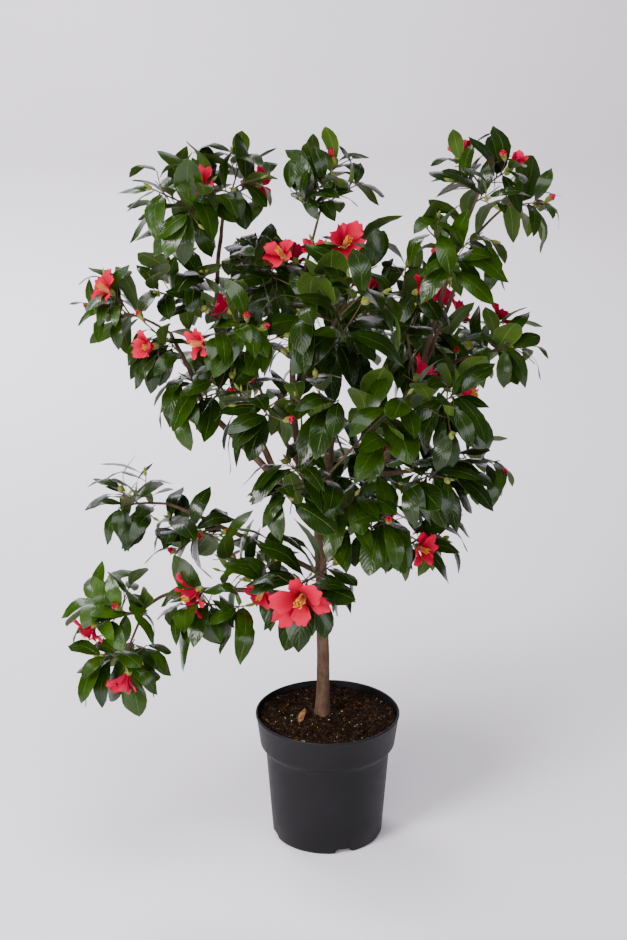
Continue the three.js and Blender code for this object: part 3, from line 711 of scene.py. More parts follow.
def bladeMesh(name, stations, columns, place, thickness):
    # a thin closed blade along +Y: place gives its point at u, from edge to edge, and v, from foot to end
    step = 0.01

    def below(u, v):
        across = place(u + step, v) - place(u - step, v)
        onward = place(u, v + step) - place(u, v - step)
        return place(u, v) - across.cross(onward).normalized() * thickness

    points, faces, uvs, under = [], [], [], []
    rows = len(stations) - 1
    sides = np.linspace(-1, 1, columns + 1)
    grid = {}
    for layer in (0, 1):
        for i, v in enumerate(stations):
            for j, u in enumerate(sides):
                if layer and (i in (0, rows) or j in (0, columns)):
                    grid[layer, i, j] = grid[0, i, j]  # the two faces of the blade meet along its edge
                    continue
                grid[layer, i, j] = len(points)
                points.append(below(u, v) if layer else place(u, v))
                uvs.append((u * 0.5 + 0.5, v))
    for layer in (0, 1):
        for i in range(rows):
            for j in range(columns):
                quad = [grid[layer, i + down, j + over] for down, over in ((0, 0), (0, 1), (1, 1), (1, 0))]
                # the under face starts at the same corner, so that both are cut along the same diagonal
                faces.append(quad[:1] + quad[:0:-1] if layer else quad)
                under.append(bool(layer))
    mesh = meshFrom(name, points, faces)
    layer = mesh.uv_layers.new(name="bladeMap")
    for loop in mesh.loops:
        layer.data[loop.index].uv = uvs[loop.vertex_index]
    setAttribute(mesh, "underside", "BOOLEAN", under, "FACE")
    smooth(mesh)
    beside = {}
    for face in mesh.polygons:
        for key in face.edge_keys:
            beside.setdefault(key, set()).add(under[face.index])
    for edge in mesh.edges:
        edge.use_edge_sharp = len(beside[edge.key]) == 2  # the blade's outline, where its two faces meet
    return mesh


# leaves

# lengths are shares of the leaf's; a pair is the value for the broadest leaf and for the most slender, and a
# span is where along the leaf something starts and ends
leafBlade = dict(
    stations=(0, 0.07, 0.17, 0.33, 0.52, 0.7, 0.84, 0.94, 1),
    columns=4,
    width=0.43,
    widths=(1.14, 0.84),
    fullness=(0.62, 0.76),
    foot=0.94,
    swell=(0.14, 0),
    point=(0.16, 0.4),
    pointSpan=(0.78, 0.95),
    petiole=0.07,
    petioleWidth=0.014,
    petioleTaper=0.85,
    arch=0.1,
    curlSpan=(0.45, 1),
    curlPower=1.4,
    counterCurl=0.35,
    untwisted=0.3,  # where along the leaf its twist is nil
    ripples=13,
    edgeShift=2,  # sets the ripples of one edge apart from the other's
    thickness=0.006,
    grown=1.05)


def leafShape(name, slender, curl, twist, fold, roll, wave):
    p = leafBlade

    def half(v):
        # half the blade's width: a short stalk, an oval that is widest past its middle, and a drawn-out point
        share = max(0, (v - p["petiole"]) / (1 - p["petiole"]))
        oval = (4 * share * (1 - share)) ** between(p["fullness"], slender)
        oval *= p["foot"] + between(p["swell"], slender) * share
        point = 1 - between(p["point"], slender) * smoothstep(*p["pointSpan"], share)
        blade = p["width"] / 2 * oval * point * between(p["widths"], slender)
        return max(p["petioleWidth"] * (1 - p["petioleTaper"] * v), blade)

    def place(u, v):
        # a low trough along the midrib, with the edges rolled down
        x = u * half(v)
        curled = curl * (smoothstep(*p["curlSpan"], v) ** p["curlPower"] - p["counterCurl"] * v)
        section = fold * abs(x) - roll * x * x / p["width"] + twist * x * (v - p["untwisted"])
        ripple = wave * math.sin(v * p["ripples"] + p["edgeShift"] * (u > 0)) * u * u
        return Vector((x, v, p["arch"] * math.sin(math.pi * v) - curled + section + ripple))

    return bladeMesh(name, p["stations"], p["columns"], place, p["thickness"])


# name, how slender, how far the tip curls down, twist, fold along the midrib, roll and waviness of the edges
leafShapes = shapeShelf("leafShape", [
    leafShape("leafFlat", 0.5, 0.04, 0.1, 0.1, 0.35, 0.005),
    leafShape("leafCurled", 0.8, 0.26, -0.4, 0.16, 0.6, 0.007),
    leafShape("leafFolded", 0.6, 0.12, 0.3, 0.42, 0.75, 0.005),
    leafShape("leafTwisted", 1.0, 0.16, 0.9, 0.18, 0.5, 0.009),
    leafShape("leafBroad", 0.1, 0.0, -0.6, 0.07, 0.45, 0.01)])

# crest, rib and margin say where a vein, the midrib and the pale edge begin to show and where they are full
leafVeins = dict(
    count=10,
    slant=0.55,
    crest=(0.72, 1.0),
    rib=(0.022, 0.006),
    margin=(0.465, 0.495),
    paleness=dict(vein=0.1, rib=0.7, margin=0.6, all=0.75),
    pucker=(11, 0.8),  # the size in mm and height of the blade's unevenness
    furrow=0.1)


def leafSurface(name, stops, rib, roughness, coat, veinDepth):
    # camellia leaf: a thick waxy cuticle over a dark blade, so highlights are broad and clear
    p = leafVeins
    paleness = p["paleness"]
    material, tree, surface = newMaterial(name, Roughness=roughness, IOR=1.42, Specular_IOR_Level=0.3,
                                          Coat_Weight=coat, Coat_Roughness=0.12, Coat_IOR=1.4)
    place = outOf(tree, "ShaderNodeUVMap", {"uv_map": "bladeMap"})
    parts = addNode(tree, "ShaderNodeSeparateXYZ", Vector=place).outputs
    aside = calculated(tree, "ABSOLUTE", calculated(tree, "SUBTRACT", parts[0], 0.5))
    # side veins leave the midrib at a slant
    slant = calculated(tree, "MULTIPLY_ADD", aside, -p["slant"], parts[1])
    wave = calculated(tree, "SINE", calculated(tree, "MULTIPLY", slant, fullTurn * p["count"]))
    veins = ranged(tree, wave, *p["crest"])
    middle = ranged(tree, aside, *p["rib"], To_Max=paleness["rib"])
    margin = ranged(tree, aside, *p["margin"], To_Max=paleness["margin"])
    ribbed = calculated(tree, "MULTIPLY_ADD", veins, paleness["vein"], middle)
    pale = calculated(tree, "ADD", ribbed, margin)
    share = calculated(tree, "MULTIPLY", pale, paleness["all"], use_clamp=True)
    base = colourRamp(tree, noiseAt(tree, 45, 4.0, 0.6), stops)
    mixed = addNode(tree, "ShaderNodeMix", {"data_type": "RGBA"}, i0=share, i6=base, i7=linearColour(rib))
    coloured(tree, surface, mixed.outputs[2])
    # the blade is puckered between its side veins, which breaks the shine up
    size, height = p["pucker"]
    uneven = calculated(tree, "MULTIPLY", noiseAt(tree, size, 2.0), height)
    puckered = calculated(tree, "MULTIPLY_ADD", wave, -p["furrow"], uneven)
    embossed(tree, surface, calculated(tree, "MULTIPLY_ADD", ribbed, -veinDepth, puckered), 0.55, 0.0009)
    return material


leafTones = {
    "deep": ((0.3, "0d1c00"), (0.55, "152900"), (0.8, "223900")),
    "mid": ((0.3, "152700"), (0.55, "203800"), (0.8, "304a02")),
    "young": ((0.3, "1c3400"), (0.55, "2a4602"), (0.8, "3c5a06")),
}
leafSeed = 900
leafUnder = leafSurface("leafUndersideMatte", [(0.3, "30460f"), (0.7, "425c1a")], "86984c", 0.5, 0.0, 0.6)
leafPieces = {}
for tone, stops in leafTones.items():
    upper = leafSurface("leafCuticle" + tone.capitalize(), stops, "48621a", 0.27, 0.22, 1.0)
    rows = []
    for number, spray in enumerate(sprays):
        if spray["tone"] != tone:
            continue
        random = seededFrom(leafSeed + number)
        for leaf in spray["plan"]["leaves"]:
            kind = int(random() * len(leafShapes.objects))
            rows.append((leaf["base"], leaf["along"], leaf["face"], leaf["length"], kind))
    leafPieces[tone] = planted(tone + "_leaves", rows, leafShapes, upper, leafUnder, leafBlade["grown"])
print("leaves made:", {tone: len(piece.data.polygons) for tone, piece in leafPieces.items()})


# twigs

twigLook = dict(stemPoints=10, shootPoints=6, sides=7)

# young camellia wood: smooth, green where it is new and light brown where it has ripened
twigBark = grainSkin("twigYoungBark", [(0.35, "4a4622"), (0.52, "4e3a26"), (0.75, "5e4632")], (14, 3.0),
                     (2, 3.0), 0.3, 0.0004, Roughness=0.6, IOR=1.45, Specular_IOR_Level=0.3)


def linesPiece(name, lines):
    # each line is a row of points in millimetres with the radius at each
    points, edges, thick = [], [], []
    for line, radii in lines:
        first = len(points)
        edges += [(first + i, first + i + 1) for i in range(len(line) - 1)]
        points += list(line)
        thick += radii
    mesh = meshFrom(name, points, [], mm, edges)
    setAttribute(mesh, "thick", "FLOAT", np.array(thick) * mm)
    return pieceFrom(name, mesh)


twigLines = []
for spray in sprays:
    plan = spray["plan"]
    twigLines.append(lineOf(spray["stem"], twigLook["stemPoints"]))
    twigLines += [lineOf(limb, twigLook["shootPoints"]) for limb in plan["shoots"] + plan["twigs"]]
twigPiece = applyTree(linesPiece("twigLines", twigLines), twigging, "twigs", Sides=twigLook["sides"],
                      Bark=twigBark)
smooth(twigPiece.data)
print("twigs made:", len(twigPiece.data.polygons))


# trunk and boughs, one skin with the bark's relief

woodPlan = dict(
    voxel=1.5,
    sides=20,
    step=7,
    fewestSteps=8,
    wobble=(0.9, 1.44),  # mm, of the trunk and of the boughs
    wobbleSize=38,
    still=12,  # mm at a limb's ends over which the wobble dies away
    apart=7,  # keeps the wobble of one limb unlike the next one's
    roots=dict(bulge=0.12, turn=0.6, height=30),
    oval=dict(bulge=0.03, twist=4),
    soften=(0.6, 3),
    relief=0.35,
    reliefScale=(260, 260, 60),  # grains per metre, drawn out upward
    reliefOctaves=(1.0, 2.0, 3))


def barkSkin():
    # camellia bark: thin, close and grey-brown, with fine lengthways cracks and pale lichen flecks
    material, tree, surface = newMaterial("barkCloseGrey", Roughness=0.82, IOR=1.4, Specular_IOR_Level=0.25)
    streaks = noiseAt(tree, 5, 5.0, 0.65, (1, 1, 0.22))
    tone = calculated(tree, "MULTIPLY", streaks, 0.55)
    tone = calculated(tree, "MULTIPLY_ADD", noiseAt(tree, 22, 4.0, 0.6), 0.45, tone)
    coloured(tree, surface, colourRamp(tree, tone, [(0.34, "38291e"), (0.5, "513d2f"), (0.62, "5f4b3c"),
                                                    (0.74, "7a6450")]))
    embossed(tree, surface, streaks, 0.7, 0.001)
    return material


def woodRing(number, limb, share):
    # one ring of a limb's skin; the trunk, which is number 0, is a little oval and bulges over three roots
    p = woodPlan
    along, length = share * limb["length"], limb["length"]
    side, over = acrossOf(headingOn(limb, share), limb["level"])
    place = pointOn(limb, share)
    drift = noise.noise_vector(Vector(place / p["wobbleSize"]) + Vector((number * p["apart"], 0, 0)))
    ends = min(1, along / p["still"], (length - along) / p["still"])
    place = place + np.array(drift) * p["wobble"][number > 0] * ends
    radius = radiusOn(limb, share)
    roots, oval = p["roots"], p["oval"]
    low = roots["bulge"] * math.exp(-along / roots["height"])
    points = []
    for turn in turnsOf(p["sides"]):
        bulge = low * math.cos(3 * turn + roots["turn"])
        bulge += oval["bulge"] * math.cos(2 * turn + oval["twist"] * share)
        out = radius * (1 if number else 1 + bulge)
        points.append(place + out * around(side, over, turn))
    return points


def vertexRows(mesh, field):
    values = np.empty(len(mesh.vertices) * 3, np.float32)
    mesh.vertices.foreach_get(field, values)
    return values.reshape(-1, 3)


def woodPiece():
    p = woodPlan
    sides = p["sides"]
    points, faces = [], []
    for number, limb in enumerate(limbs.values()):
        count = max(p["fewestSteps"], int(limb["length"] / p["step"]))
        first = len(points)
        for i in range(count + 1):
            points += woodRing(number, limb, i / count)
        last = first + count * sides
        for low in range(first, last, sides):
            faces += ringFaces(low, low + sides, sides, flip=True)
        faces += [capFace(first, sides, flip=True), capFace(last, sides)]
    piece = pieceFrom("woodRough", meshFrom("woodRough", points, faces, mm))
    skin = piece.modifiers.new("skin", "REMESH")
    skin.mode = "VOXEL"
    skin.voxel_size = p["voxel"] * mm
    soften = piece.modifiers.new("soften", "SMOOTH")
    soften.factor = p["soften"][0]
    soften.iterations = p["soften"][1]
    piece = baked(piece, "wood")
    mesh = piece.data
    place = vertexRows(mesh, "co")
    scaled = (place * np.array(p["reliefScale"], np.float32)).tolist()
    relief = np.array([noise.fractal(Vector(point), *p["reliefOctaves"]) for point in scaled])
    place += vertexRows(mesh, "normal") * (relief[:, None] * p["relief"] * mm)
    mesh.vertices.foreach_set("co", place.ravel())
    mesh.update()
    cover(mesh, barkSkin())
    smooth(mesh)
    return piece


wood = woodPiece()
print("wood made:", len(wood.data.polygons))


# blossom

# lengths are shares of the petal's; u runs from -1 to 1 across it and v from 0 to 1 along it
petalPlan = dict(
    stations=(0, 0.22, 0.46, 0.68, 0.86, 1),
    columns=8,
    foot=0.24,
    widens=(0.05, 0.7),
    narrows=(0.8, 1),
    narrowed=0.14,
    cornerCut=0.38,
    cornerPower=2.2,
    endPower=5,
    notchWidth=0.28,
    cupEnds=(2.4, 0.4),
    ruffles=(4.5, 2),
    groove=0.06,
    grooveWidth=0.25,
    thickness=0.014)


def petalShape(name, width, bend, cup, ruffle, notch):
    # a petal that leaves the tube upright and bends outward on an arc, with a notch in its round end
    p = petalPlan

    def half(v):
        widened = p["foot"] + (1 - p["foot"]) * smoothstep(*p["widens"], v)
        return width / 2 * widened * (1 - p["narrowed"] * smoothstep(*p["narrows"], v))

    def place(u, v):
        notched = notch * math.exp(-(u / p["notchWidth"]) ** 2)
        turn = bend * (v - v ** p["endPower"] * (p["cornerCut"] * abs(u) ** p["cornerPower"] + notched))
        x = u * half(v)
        acrossRuffles, alongRuffles = p["ruffles"]
        lift = cup * x * x * between(p["cupEnds"], v)
        lift += ruffle * math.sin(u * acrossRuffles + v * alongRuffles) * v * v
        lift -= p["groove"] * math.exp(-(u / p["grooveWidth"]) ** 2) * v * v
        off = 1 / bend + lift
        return Vector((x, math.sin(turn) * off, math.cos(turn) * off - 1 / bend))

    return bladeMesh(name, p["stations"], p["columns"], place, p["thickness"])


# name, width, how far it bends in radians, cup, ruffle, notch
petalShapes = shapeShelf("petalShape", [
    petalShape("petalOpen", 0.6, 1.1, 1.1, 0.05, 0.13),
    petalShape("petalReflexed", 0.54, 1.4, 0.8, -0.06, 0.15),
    petalShape("petalNarrow", 0.48, 0.85, 1.3, 0.08, 0.1),
    petalShape("petalHalfOpen", 0.58, 0.6, 1.7, 0.08, 0.14),
    petalShape("petalClosed", 0.6, 0.12, 2.3, 0.03, 0.06)])
closedPetal = 4


def petalSkin(name, stops):
    # camellia petal: soft and velvety, with fine lengthways veins; its colour darkens toward the foot,
    # painted shade deep in the bloom's cup, and is lightest at the end
    material, tree, surface = newMaterial(name, Roughness=0.55, IOR=1.38, Specular_IOR_Level=0.12,
                                          Sheen_Weight=0.03, Sheen_Tint=linearColour("e03050"),
                                          Subsurface_Weight=0.12, Subsurface_Scale=0.004)
    place = outOf(tree, "ShaderNodeUVMap", {"uv_map": "bladeMap"})
    along = addNode(tree, "ShaderNodeSeparateXYZ", Vector=place).outputs[1]
    narrowed = outOf(tree, "ShaderNodeMapping", Vector=place, Scale=(26, 2.2, 1))
    veins = outOf(tree, "ShaderNodeTexNoise", {"noise_dimensions": "2D"}, Vector=narrowed, Scale=1.0,
                  Detail=2.0)
    # the colour runs along the petal from dark at its foot to light at its end: the dark foot is painted
    # shade in the cup
    coloured(tree, surface, colourRamp(tree, calculated(tree, "MULTIPLY_ADD", veins, 0.35, along), stops))
    embossed(tree, surface, veins, 0.25, 0.0005)
    return material


# the darkest stops, at the petals' feet, are painted shade
petalUpper = petalSkin("petalCoralVelvet", [(0.1, "640018"), (0.4, "980025"), (0.75, "b0002d"),
                                            (1.0, "c00036")])
petalUnder = petalSkin("petalCoralBack", [(0.1, "860824"), (0.6, "ac0832"), (1.0, "c01444")])

# how each bloom stands: its petals, how far their feet lean out, the kinds to draw from, their length
bloomStates = dict(
    closed=dict(petals=5, foot=0.05, kinds=(closedPetal,), length=39, stamens=0),
    opening=dict(petals=6, foot=0.16, kinds=(3, 2, 3, 2, 3, 2, 3, 2, 3), length=47, stamens=27),
    open=dict(petals=6, foot=0.34, kinds=(0, 1, 0, 2, 0, 1, 0, 2, 0), length=46, stamens=29))
bloomPose = dict(
    seed=400,
    closedUnder=21,
    closedAbove=1080,
    smallest=0.8,
    openingShare=0.4,
    openingUnder=1,
    nodUnder=520,
    nodSize=1.1,  # larger blooms don't nod
    nod=0.85,
    upright=1.1,
    stray=0.45,
    footStrays=(0.5, 1.5),
    outer=0.16,  # every other petal leans out this much more
    base=(2.4, 3.1),
    lengths=(0.82, 1.1),
    closedLength=0.9,
    calyx=16,
    calyxSunk=0.55,
    calyxKind=2)


def stateOf(spray, bloom, size, random):
    # which of the states a bloom is in, and how much its axis is drawn up or down
    p = bloomPose
    name = "opening" if random() < p["openingShare"] and size < p["openingUnder"] else "open"
    if bloom["radius"] < p["closedUnder"] and bloom["centre"][2] > p["closedAbove"]:
        return bloomStates["closed"], upward * p["upright"]
    nods = spray["heart"][2] < p["nodUnder"] and size < p["nodSize"]
    return bloomStates[name], -upward * p["nod"] * nods


petalRows, stamenRows, calyxRows = [], [], []
bloomsOf = [(spray, bloom) for spray in sprays for bloom in spray["plan"]["blooms"]]
for number, (spray, bloom) in enumerate(bloomsOf):
    p = bloomPose
    random = seededFrom(p["seed"] + number)
    centre = bloom["centre"]
    size = max(bloom["radius"] / bloomPlan["radius"], p["smallest"])
    state, lean = stateOf(spray, bloom, size, random)
    axis = unit(bloom["face"] + lean)
    side, over = acrossOf(axis)
    for i in range(state["petals"]):
        spread = around(side, over, fullTurn * (i + p["stray"] * random()) / state["petals"])
        angle = state["foot"] * between(p["footStrays"], random()) + p["outer"] * (i % 2)
        along = unit(axis * math.cos(angle) + spread * math.sin(angle))
        face = unit(axis * math.sin(angle) - spread * math.cos(angle))
        length = state["length"] * (size if state["stamens"] else p["closedLength"])
        length *= between(p["lengths"], random())
        kind = state["kinds"][int(random() * len(state["kinds"]))]
        petalRows.append((centre + spread * p["base"][i % 2] * size, along, face, length, kind))
    if state["stamens"]:
        stamenRows.append((centre, axis, side, state["stamens"] * size, 0))
    calyx = p["calyx"] * (math.sqrt(size) if state["stamens"] else 1)
    calyxRows.append((centre - axis * calyx * p["calyxSunk"], axis, side, calyx, p["calyxKind"]))

# lengths are shares of the tuft's height
stamenPlan = dict(
    seed=77,
    stalks=30,
    wound=2.6,  # how often the stalks go round
    rings=(0.35, 1),
    heights=(0.78, 1.04),
    foot=0.12,
    spread=0.21,
    thick=0.02,
    corner=0.4,
    anther=(-0.02, 0.09),
    antherWidths=(0.036, 0.0252))


def stamenMesh():
    # a ring of fine stalks joined low down, each with its anther
    p = stamenPlan
    points, faces, onStalk = [], [], []
    random = seededFrom(p["seed"])
    for i in range(p["stalks"]):
        turn = fullTurn * i / p["stalks"] * p["wound"]
        out = Vector((math.cos(turn), 0, math.sin(turn))) * between(p["rings"], i % 3 / 2)
        foot = out * p["foot"]
        head = out * p["spread"] + Vector((0, between(p["heights"], random()), 0))
        low, high = (head + Vector((0, rise, 0)) for rise in p["anther"])
        for ends, widths in (((foot, head), (p["thick"], p["thick"])), ((low, high), p["antherWidths"])):
            first = len(points)
            for end, width in zip(ends, widths):
                corners = [turn + p["corner"] for turn in turnsOf(4)]
                points += [end + Vector((math.cos(a), 0, math.sin(a))) * width for a in corners]
            faces += ringFaces(first, first + 4, 4) + [capFace(first, 4), capFace(first + 4, 4, flip=True)]
            onStalk += [ends[0] is foot] * 6
    mesh = meshFrom("stamenTuft", points, faces)
    setAttribute(mesh, "underside", "BOOLEAN", onStalk, "FACE")
    return mesh


def turnedMesh(name, profile, sides, swirl, winding=9):
    # a closed shape turned about +Y, with three low ridges that wind up it
    points = [(0, profile[0][1], 0)]
    for r, h in profile[1:-1]:
        for turn in turnsOf(sides):
            out = r * (1 + swirl * math.cos(3 * turn + h * winding))
            points.append((out * math.cos(turn), h, out * math.sin(turn)))
    last = len(points)
    points.append((0, profile[-1][1], 0))
    faces = fanFaces(0, 1, sides)
    for low in range(1, last - sides, sides):
        faces += ringFaces(low, low + sides, sides)
    faces += [(tip, b, a) for tip, a, b in fanFaces(last, last - sides, sides)]
    mesh = meshFrom(name, points, faces)
    smooth(mesh)
    return mesh


# profiles are rows of radius and height, as shares of the length
budSlim = [(0, 0), (0.1, 0.02), (0.17, 0.25), (0.16, 0.5), (0.09, 0.8), (0.03, 0.95), (0, 1)]
budRound = [(0, 0), (0.2, 0.05), (0.34, 0.3), (0.36, 0.55), (0.24, 0.85), (0.08, 0.98), (0, 1)]
calyxCup = [(0, 0), (0.13, 0.02), (0.28, 0.2), (0.36, 0.5), (0.37, 0.84), (0.3, 1), (0.16, 0.9), (0, 0.86)]
stamenShapes = shapeShelf("stamenShape", [stamenMesh()])
budShapes = shapeShelf("budShape", [
    turnedMesh("budSlim", budSlim, 8, 0.06),
    turnedMesh("budRound", budRound, 8, 0.07),
    turnedMesh("calyx", calyxCup, 10, 0.06)])


def plainSkin(name, stops, sizeMm, roughness, **more):
    return grainSkin(name, stops, (sizeMm, 3.0), (sizeMm / 4, 2.0), 0.3, 0.0004, Roughness=roughness,
                     IOR=1.42, Specular_IOR_Level=0.3, **more)


# anthers are dusty with pollen, their stalks waxy; bud scales are smooth and faintly silky
anther = plainSkin("antherPollenYellow", [(0.3, "b87814"), (0.7, "e0a428")], 3, 0.85)
stalk = plainSkin("stamenStalkWaxy", [(0.3, "d87850"), (0.7, "eaa878")], 5, 0.5)
budScale = plainSkin("budScaleSilky", [(0.3, "4c5a12"), (0.5, "6c7420"), (0.75, "8e8c38")], 6, 0.45,
                     Sheen_Weight=0.2)

budPlan = dict(
    seed=2000,
    share=0.4,  # of the twigs' tips that bear buds
    rise=0.2,
    lengths=(13, 18),
    beside=2.4,
    besideOut=0.9,
    besideBack=(2, 5),
    besideLengths=(11, 16),
    besideKinds=2,
    flushed=0.16,  # the share of those tips that show colour too
    flushedRise=0.6,
    flushedStrays=(-0.5, 0.5),
    flushedFoot=3,
    tipPetals=4,
    tipLength=19,
    tipCalyx=12.5)
budRows = []
for number, (tip, heading) in enumerate(tip for spray in sprays for tip in spray["plan"]["tips"]):
    p = budPlan
    random = seededFrom(p["seed"] + number)
    if random() > p["share"]:
        continue
    side, over = acrossOf(heading)
    risen = heading + upward * p["rise"]
    budRows.append((tip, unit(risen), side, between(p["lengths"], random()), 0))
    for i in range(int(random() * p["beside"])):
        way = unit(risen + around(side, over, random() * fullTurn) * p["besideOut"])
        foot = tip - heading * between(p["besideBack"], random())
        length = between(p["besideLengths"], random())
        budRows.append((foot, way, over, length, int(random() * p["besideKinds"])))
    if random() < p["flushed"]:
        # a swollen bud beside the tip, with the ends of its petals out of the scales
        axis = unit(heading + side * between(p["flushedStrays"], random()) + upward * p["flushedRise"])
        side, over = acrossOf(axis)
        foot = tip + axis * p["flushedFoot"]
        calyxRows.append((foot, axis, side, p["tipCalyx"], bloomPose["calyxKind"]))
        for turn in turnsOf(p["tipPetals"]):
            spread = around(side, over, turn)
            petalRows.append((foot + spread, axis, -spread, p["tipLength"], closedPetal))

petals = planted("petals", petalRows, petalShapes, petalUpper, petalUnder)
stamens = planted("stamens", stamenRows, stamenShapes, anther, stalk)
buds = planted("buds", budRows + calyxRows, budShapes, budScale, budScale)
print("blossom made:", len(petals.data.polygons), len(stamens.data.polygons), len(buds.data.polygons))


# pot

# the profile is rows of radius and height: the foot with its raised middle, the tapering body, the band
# above it, the flared wall and rolled rim, and the inside on the way down
potPlan = dict(
    profile=[(0, 1.2), (60, 1.2), (64, 0), (87, 0), (90.4, 1), (92, 4),
             (94.625, 39.25), (97.25, 74.5), (99.875, 109.75), (102.185, 140.77), (102.5, 154), (103.3, 157),
             (109.9, 165), (111.9, 166.4), (112.5, 168.6), (112.8, 172),
             (118.4, 212), (119.5, 215.4), (120, 217), (119.9, 219), (119.1, 219.9), (118, 220),
             (116.8, 219.4), (116.2, 217), (110.1, 170), (100.1, 156), (89.6, 4.4), (0, 3.6)],
    sides=160,
    drains=4,
    firstDrain=-73,
    drainSpan=(70, 112),
    drainArch=[(-15, -5), (-15, 4), (-12.5, 7.4), (-8, 9), (8, 9), (12.5, 7.4), (15, 4), (15, -5)],
    sharpFrom=40)


def potPiece():
    p = potPlan
    sides = p["sides"]
    points, faces = [], []
    for r, z in p["profile"]:
        points += [(r * math.cos(turn), r * math.sin(turn), z) for turn in turnsOf(sides)]
    for i in range(len(p["profile"]) - 1):
        faces += ringFaces(i * sides, (i + 1) * sides, sides, flip=True)
    mesh = meshFrom("potWall", points, faces, mm)
    faceOutward(mesh)
    piece = pieceFrom("potWall", mesh)
    # the drain slots are cut by blocks that lie through the foot
    count = len(p["drainArch"])
    faces = ringFaces(0, count, count, flip=True) + [capFace(0, count, flip=True), capFace(count, count)]
    cutters = []
    for i in range(p["drains"]):
        turn = Matrix.Rotation((p["firstDrain"] + i * 360 / p["drains"]) * degree, 4, "Z")
        points = [turn @ Vector((x, y, z)) for x in p["drainSpan"] for y, z in p["drainArch"]]
        block = meshFrom("drainBlock", points, faces, mm)
        faceOutward(block)
        cutters.append(pieceFrom("drainBlock", block))
        cut = piece.modifiers.new("drain", "BOOLEAN")
        cut.operation = "DIFFERENCE"
        cut.solver = "EXACT"
        cut.object = cutters[-1]
    piece = baked(piece, "plastic_pot")
    for cutter in cutters:
        bpy.data.objects.remove(cutter)
    smooth(piece.data)
    piece.data.set_sharp_from_angle(angle=p["sharpFrom"] * degree)
    return piece


def potSkin():
    # moulded polypropylene: dull dark grey with a faint pebble, and shinier in patches where it is worn
    material, tree, surface = newMaterial("potMouldedPolypropylene", IOR=1.49, Specular_IOR_Level=0.2)
    coloured(tree, surface, colourRamp(tree, noiseAt(tree, 60, 4.0, 0.6),
                                       [(0.3, "0b0a0d"), (0.6, "0f0e11"), (0.8, "131216")]))
    rough = ranged(tree, noiseAt(tree, 12, 4.0), 0, 1, To_Min=0.42, To_Max=0.6)
    tree.links.new(rough, surface.inputs["Roughness"])
    # the moulded pebble is about 0.4 mm across; drawn at 1.2 mm so that it shows
    embossed(tree, surface, noiseAt(tree, 1.2, 2.0), 0.18, 0.0004)
    return material


pot = potPiece()
cover(pot.data, potSkin())
print("pot made:", len(pot.data.polygons))


# soil

soilPlan = dict(
    level=soilLevel,
    radius=114.6,
    depth=30,
    rings=46,
    sides=150,
    crown=1,
    dip=dict(deep=4, out=70, width=34),  # a shallow ring-shaped hollow about the stem
    hollow=dict(deep=2.4, x=(-10, 60), y=(0, 60)),
    lumps=5.4,
    lumpSize=15,
    lumpOctaves=(0.8, 2.1, 4),
    levelled=dict(share=0.7, width=14),  # the lumps are lower round the stem
    taper=0.96)

# peat compost: dark, damp and crumbly, so almost no shine
soilStops = [(0.32, "090402"), (0.5, "170b04"), (0.66, "2a1606"), (0.8, "4a2e0e")]
soilSkin = grainSkin("compostDampPeat", soilStops, (4, 5.0, 0.7), (4, 5.0, 0.7), 0.9, 0.002, Roughness=0.95,
                     IOR=1.35, Specular_IOR_Level=0.15)


def soilHeight(x, y):
    p = soilPlan
    r = math.hypot(x, y)
    dip, hollow, levelled = p["dip"], p["hollow"], p["levelled"]
    sunk = dip["deep"] * math.exp(-((r - dip["out"]) / dip["width"]) ** 2)
    sunk += hollow["deep"] * smoothstep(*hollow["y"], y) * smoothstep(*hollow["x"], x)
    lump = p["lumps"] * noise.fractal(Vector((x / p["lumpSize"], y / p["lumpSize"], 3)), *p["lumpOctaves"])
    return p["level"] - sunk + lump * (1 - levelled["share"] * math.exp(-r / levelled["width"]))


def soilPiece():
    p = soilPlan
    sides = p["sides"]
    points = [(0, 0, p["level"] + p["crown"])]
    for i in range(1, p["rings"] + 1):
        r = p["radius"] * i / p["rings"]
        for turn in turnsOf(sides):
            x, y = r * math.cos(turn), r * math.sin(turn)
            points.append((x, y, soilHeight(x, y)))
    under = len(points)
    points += [(x * p["taper"], y * p["taper"], p["level"] - p["depth"]) for x, y, _ in points[-sides:]]
    faces = fanFaces(0, 1, sides)
    for low in range(1, under, sides):
        faces += ringFaces(low, low + sides, sides)
    faces.append(capFace(under, sides, flip=True))
    mesh = meshFrom("compost", points, faces, mm)
    smooth(mesh)
    cover(mesh, soilSkin)
    return pieceFrom("compost", mesh)


soil = soilPiece()


def lumpMesh(name, size, rough, seed):
    shape = bmesh.new()
    bmesh.ops.create_icosphere(shape, subdivisions=1, radius=0.5)
    for vertex in shape.verts:
        push = 1 + rough * noise.noise(vertex.co * 3 + Vector((seed, 0, 0)))
        vertex.co = vertex.co * Vector(size) * push
    mesh = bpy.data.meshes.new(name)
    shape.to_mesh(mesh)
    shape.free()
    return mesh


def lumpShelf(name, count, size, rough, apart):
    return shapeShelf(name, [lumpMesh("%s%d" % (name, i), size, rough, i * apart) for i in range(count)])


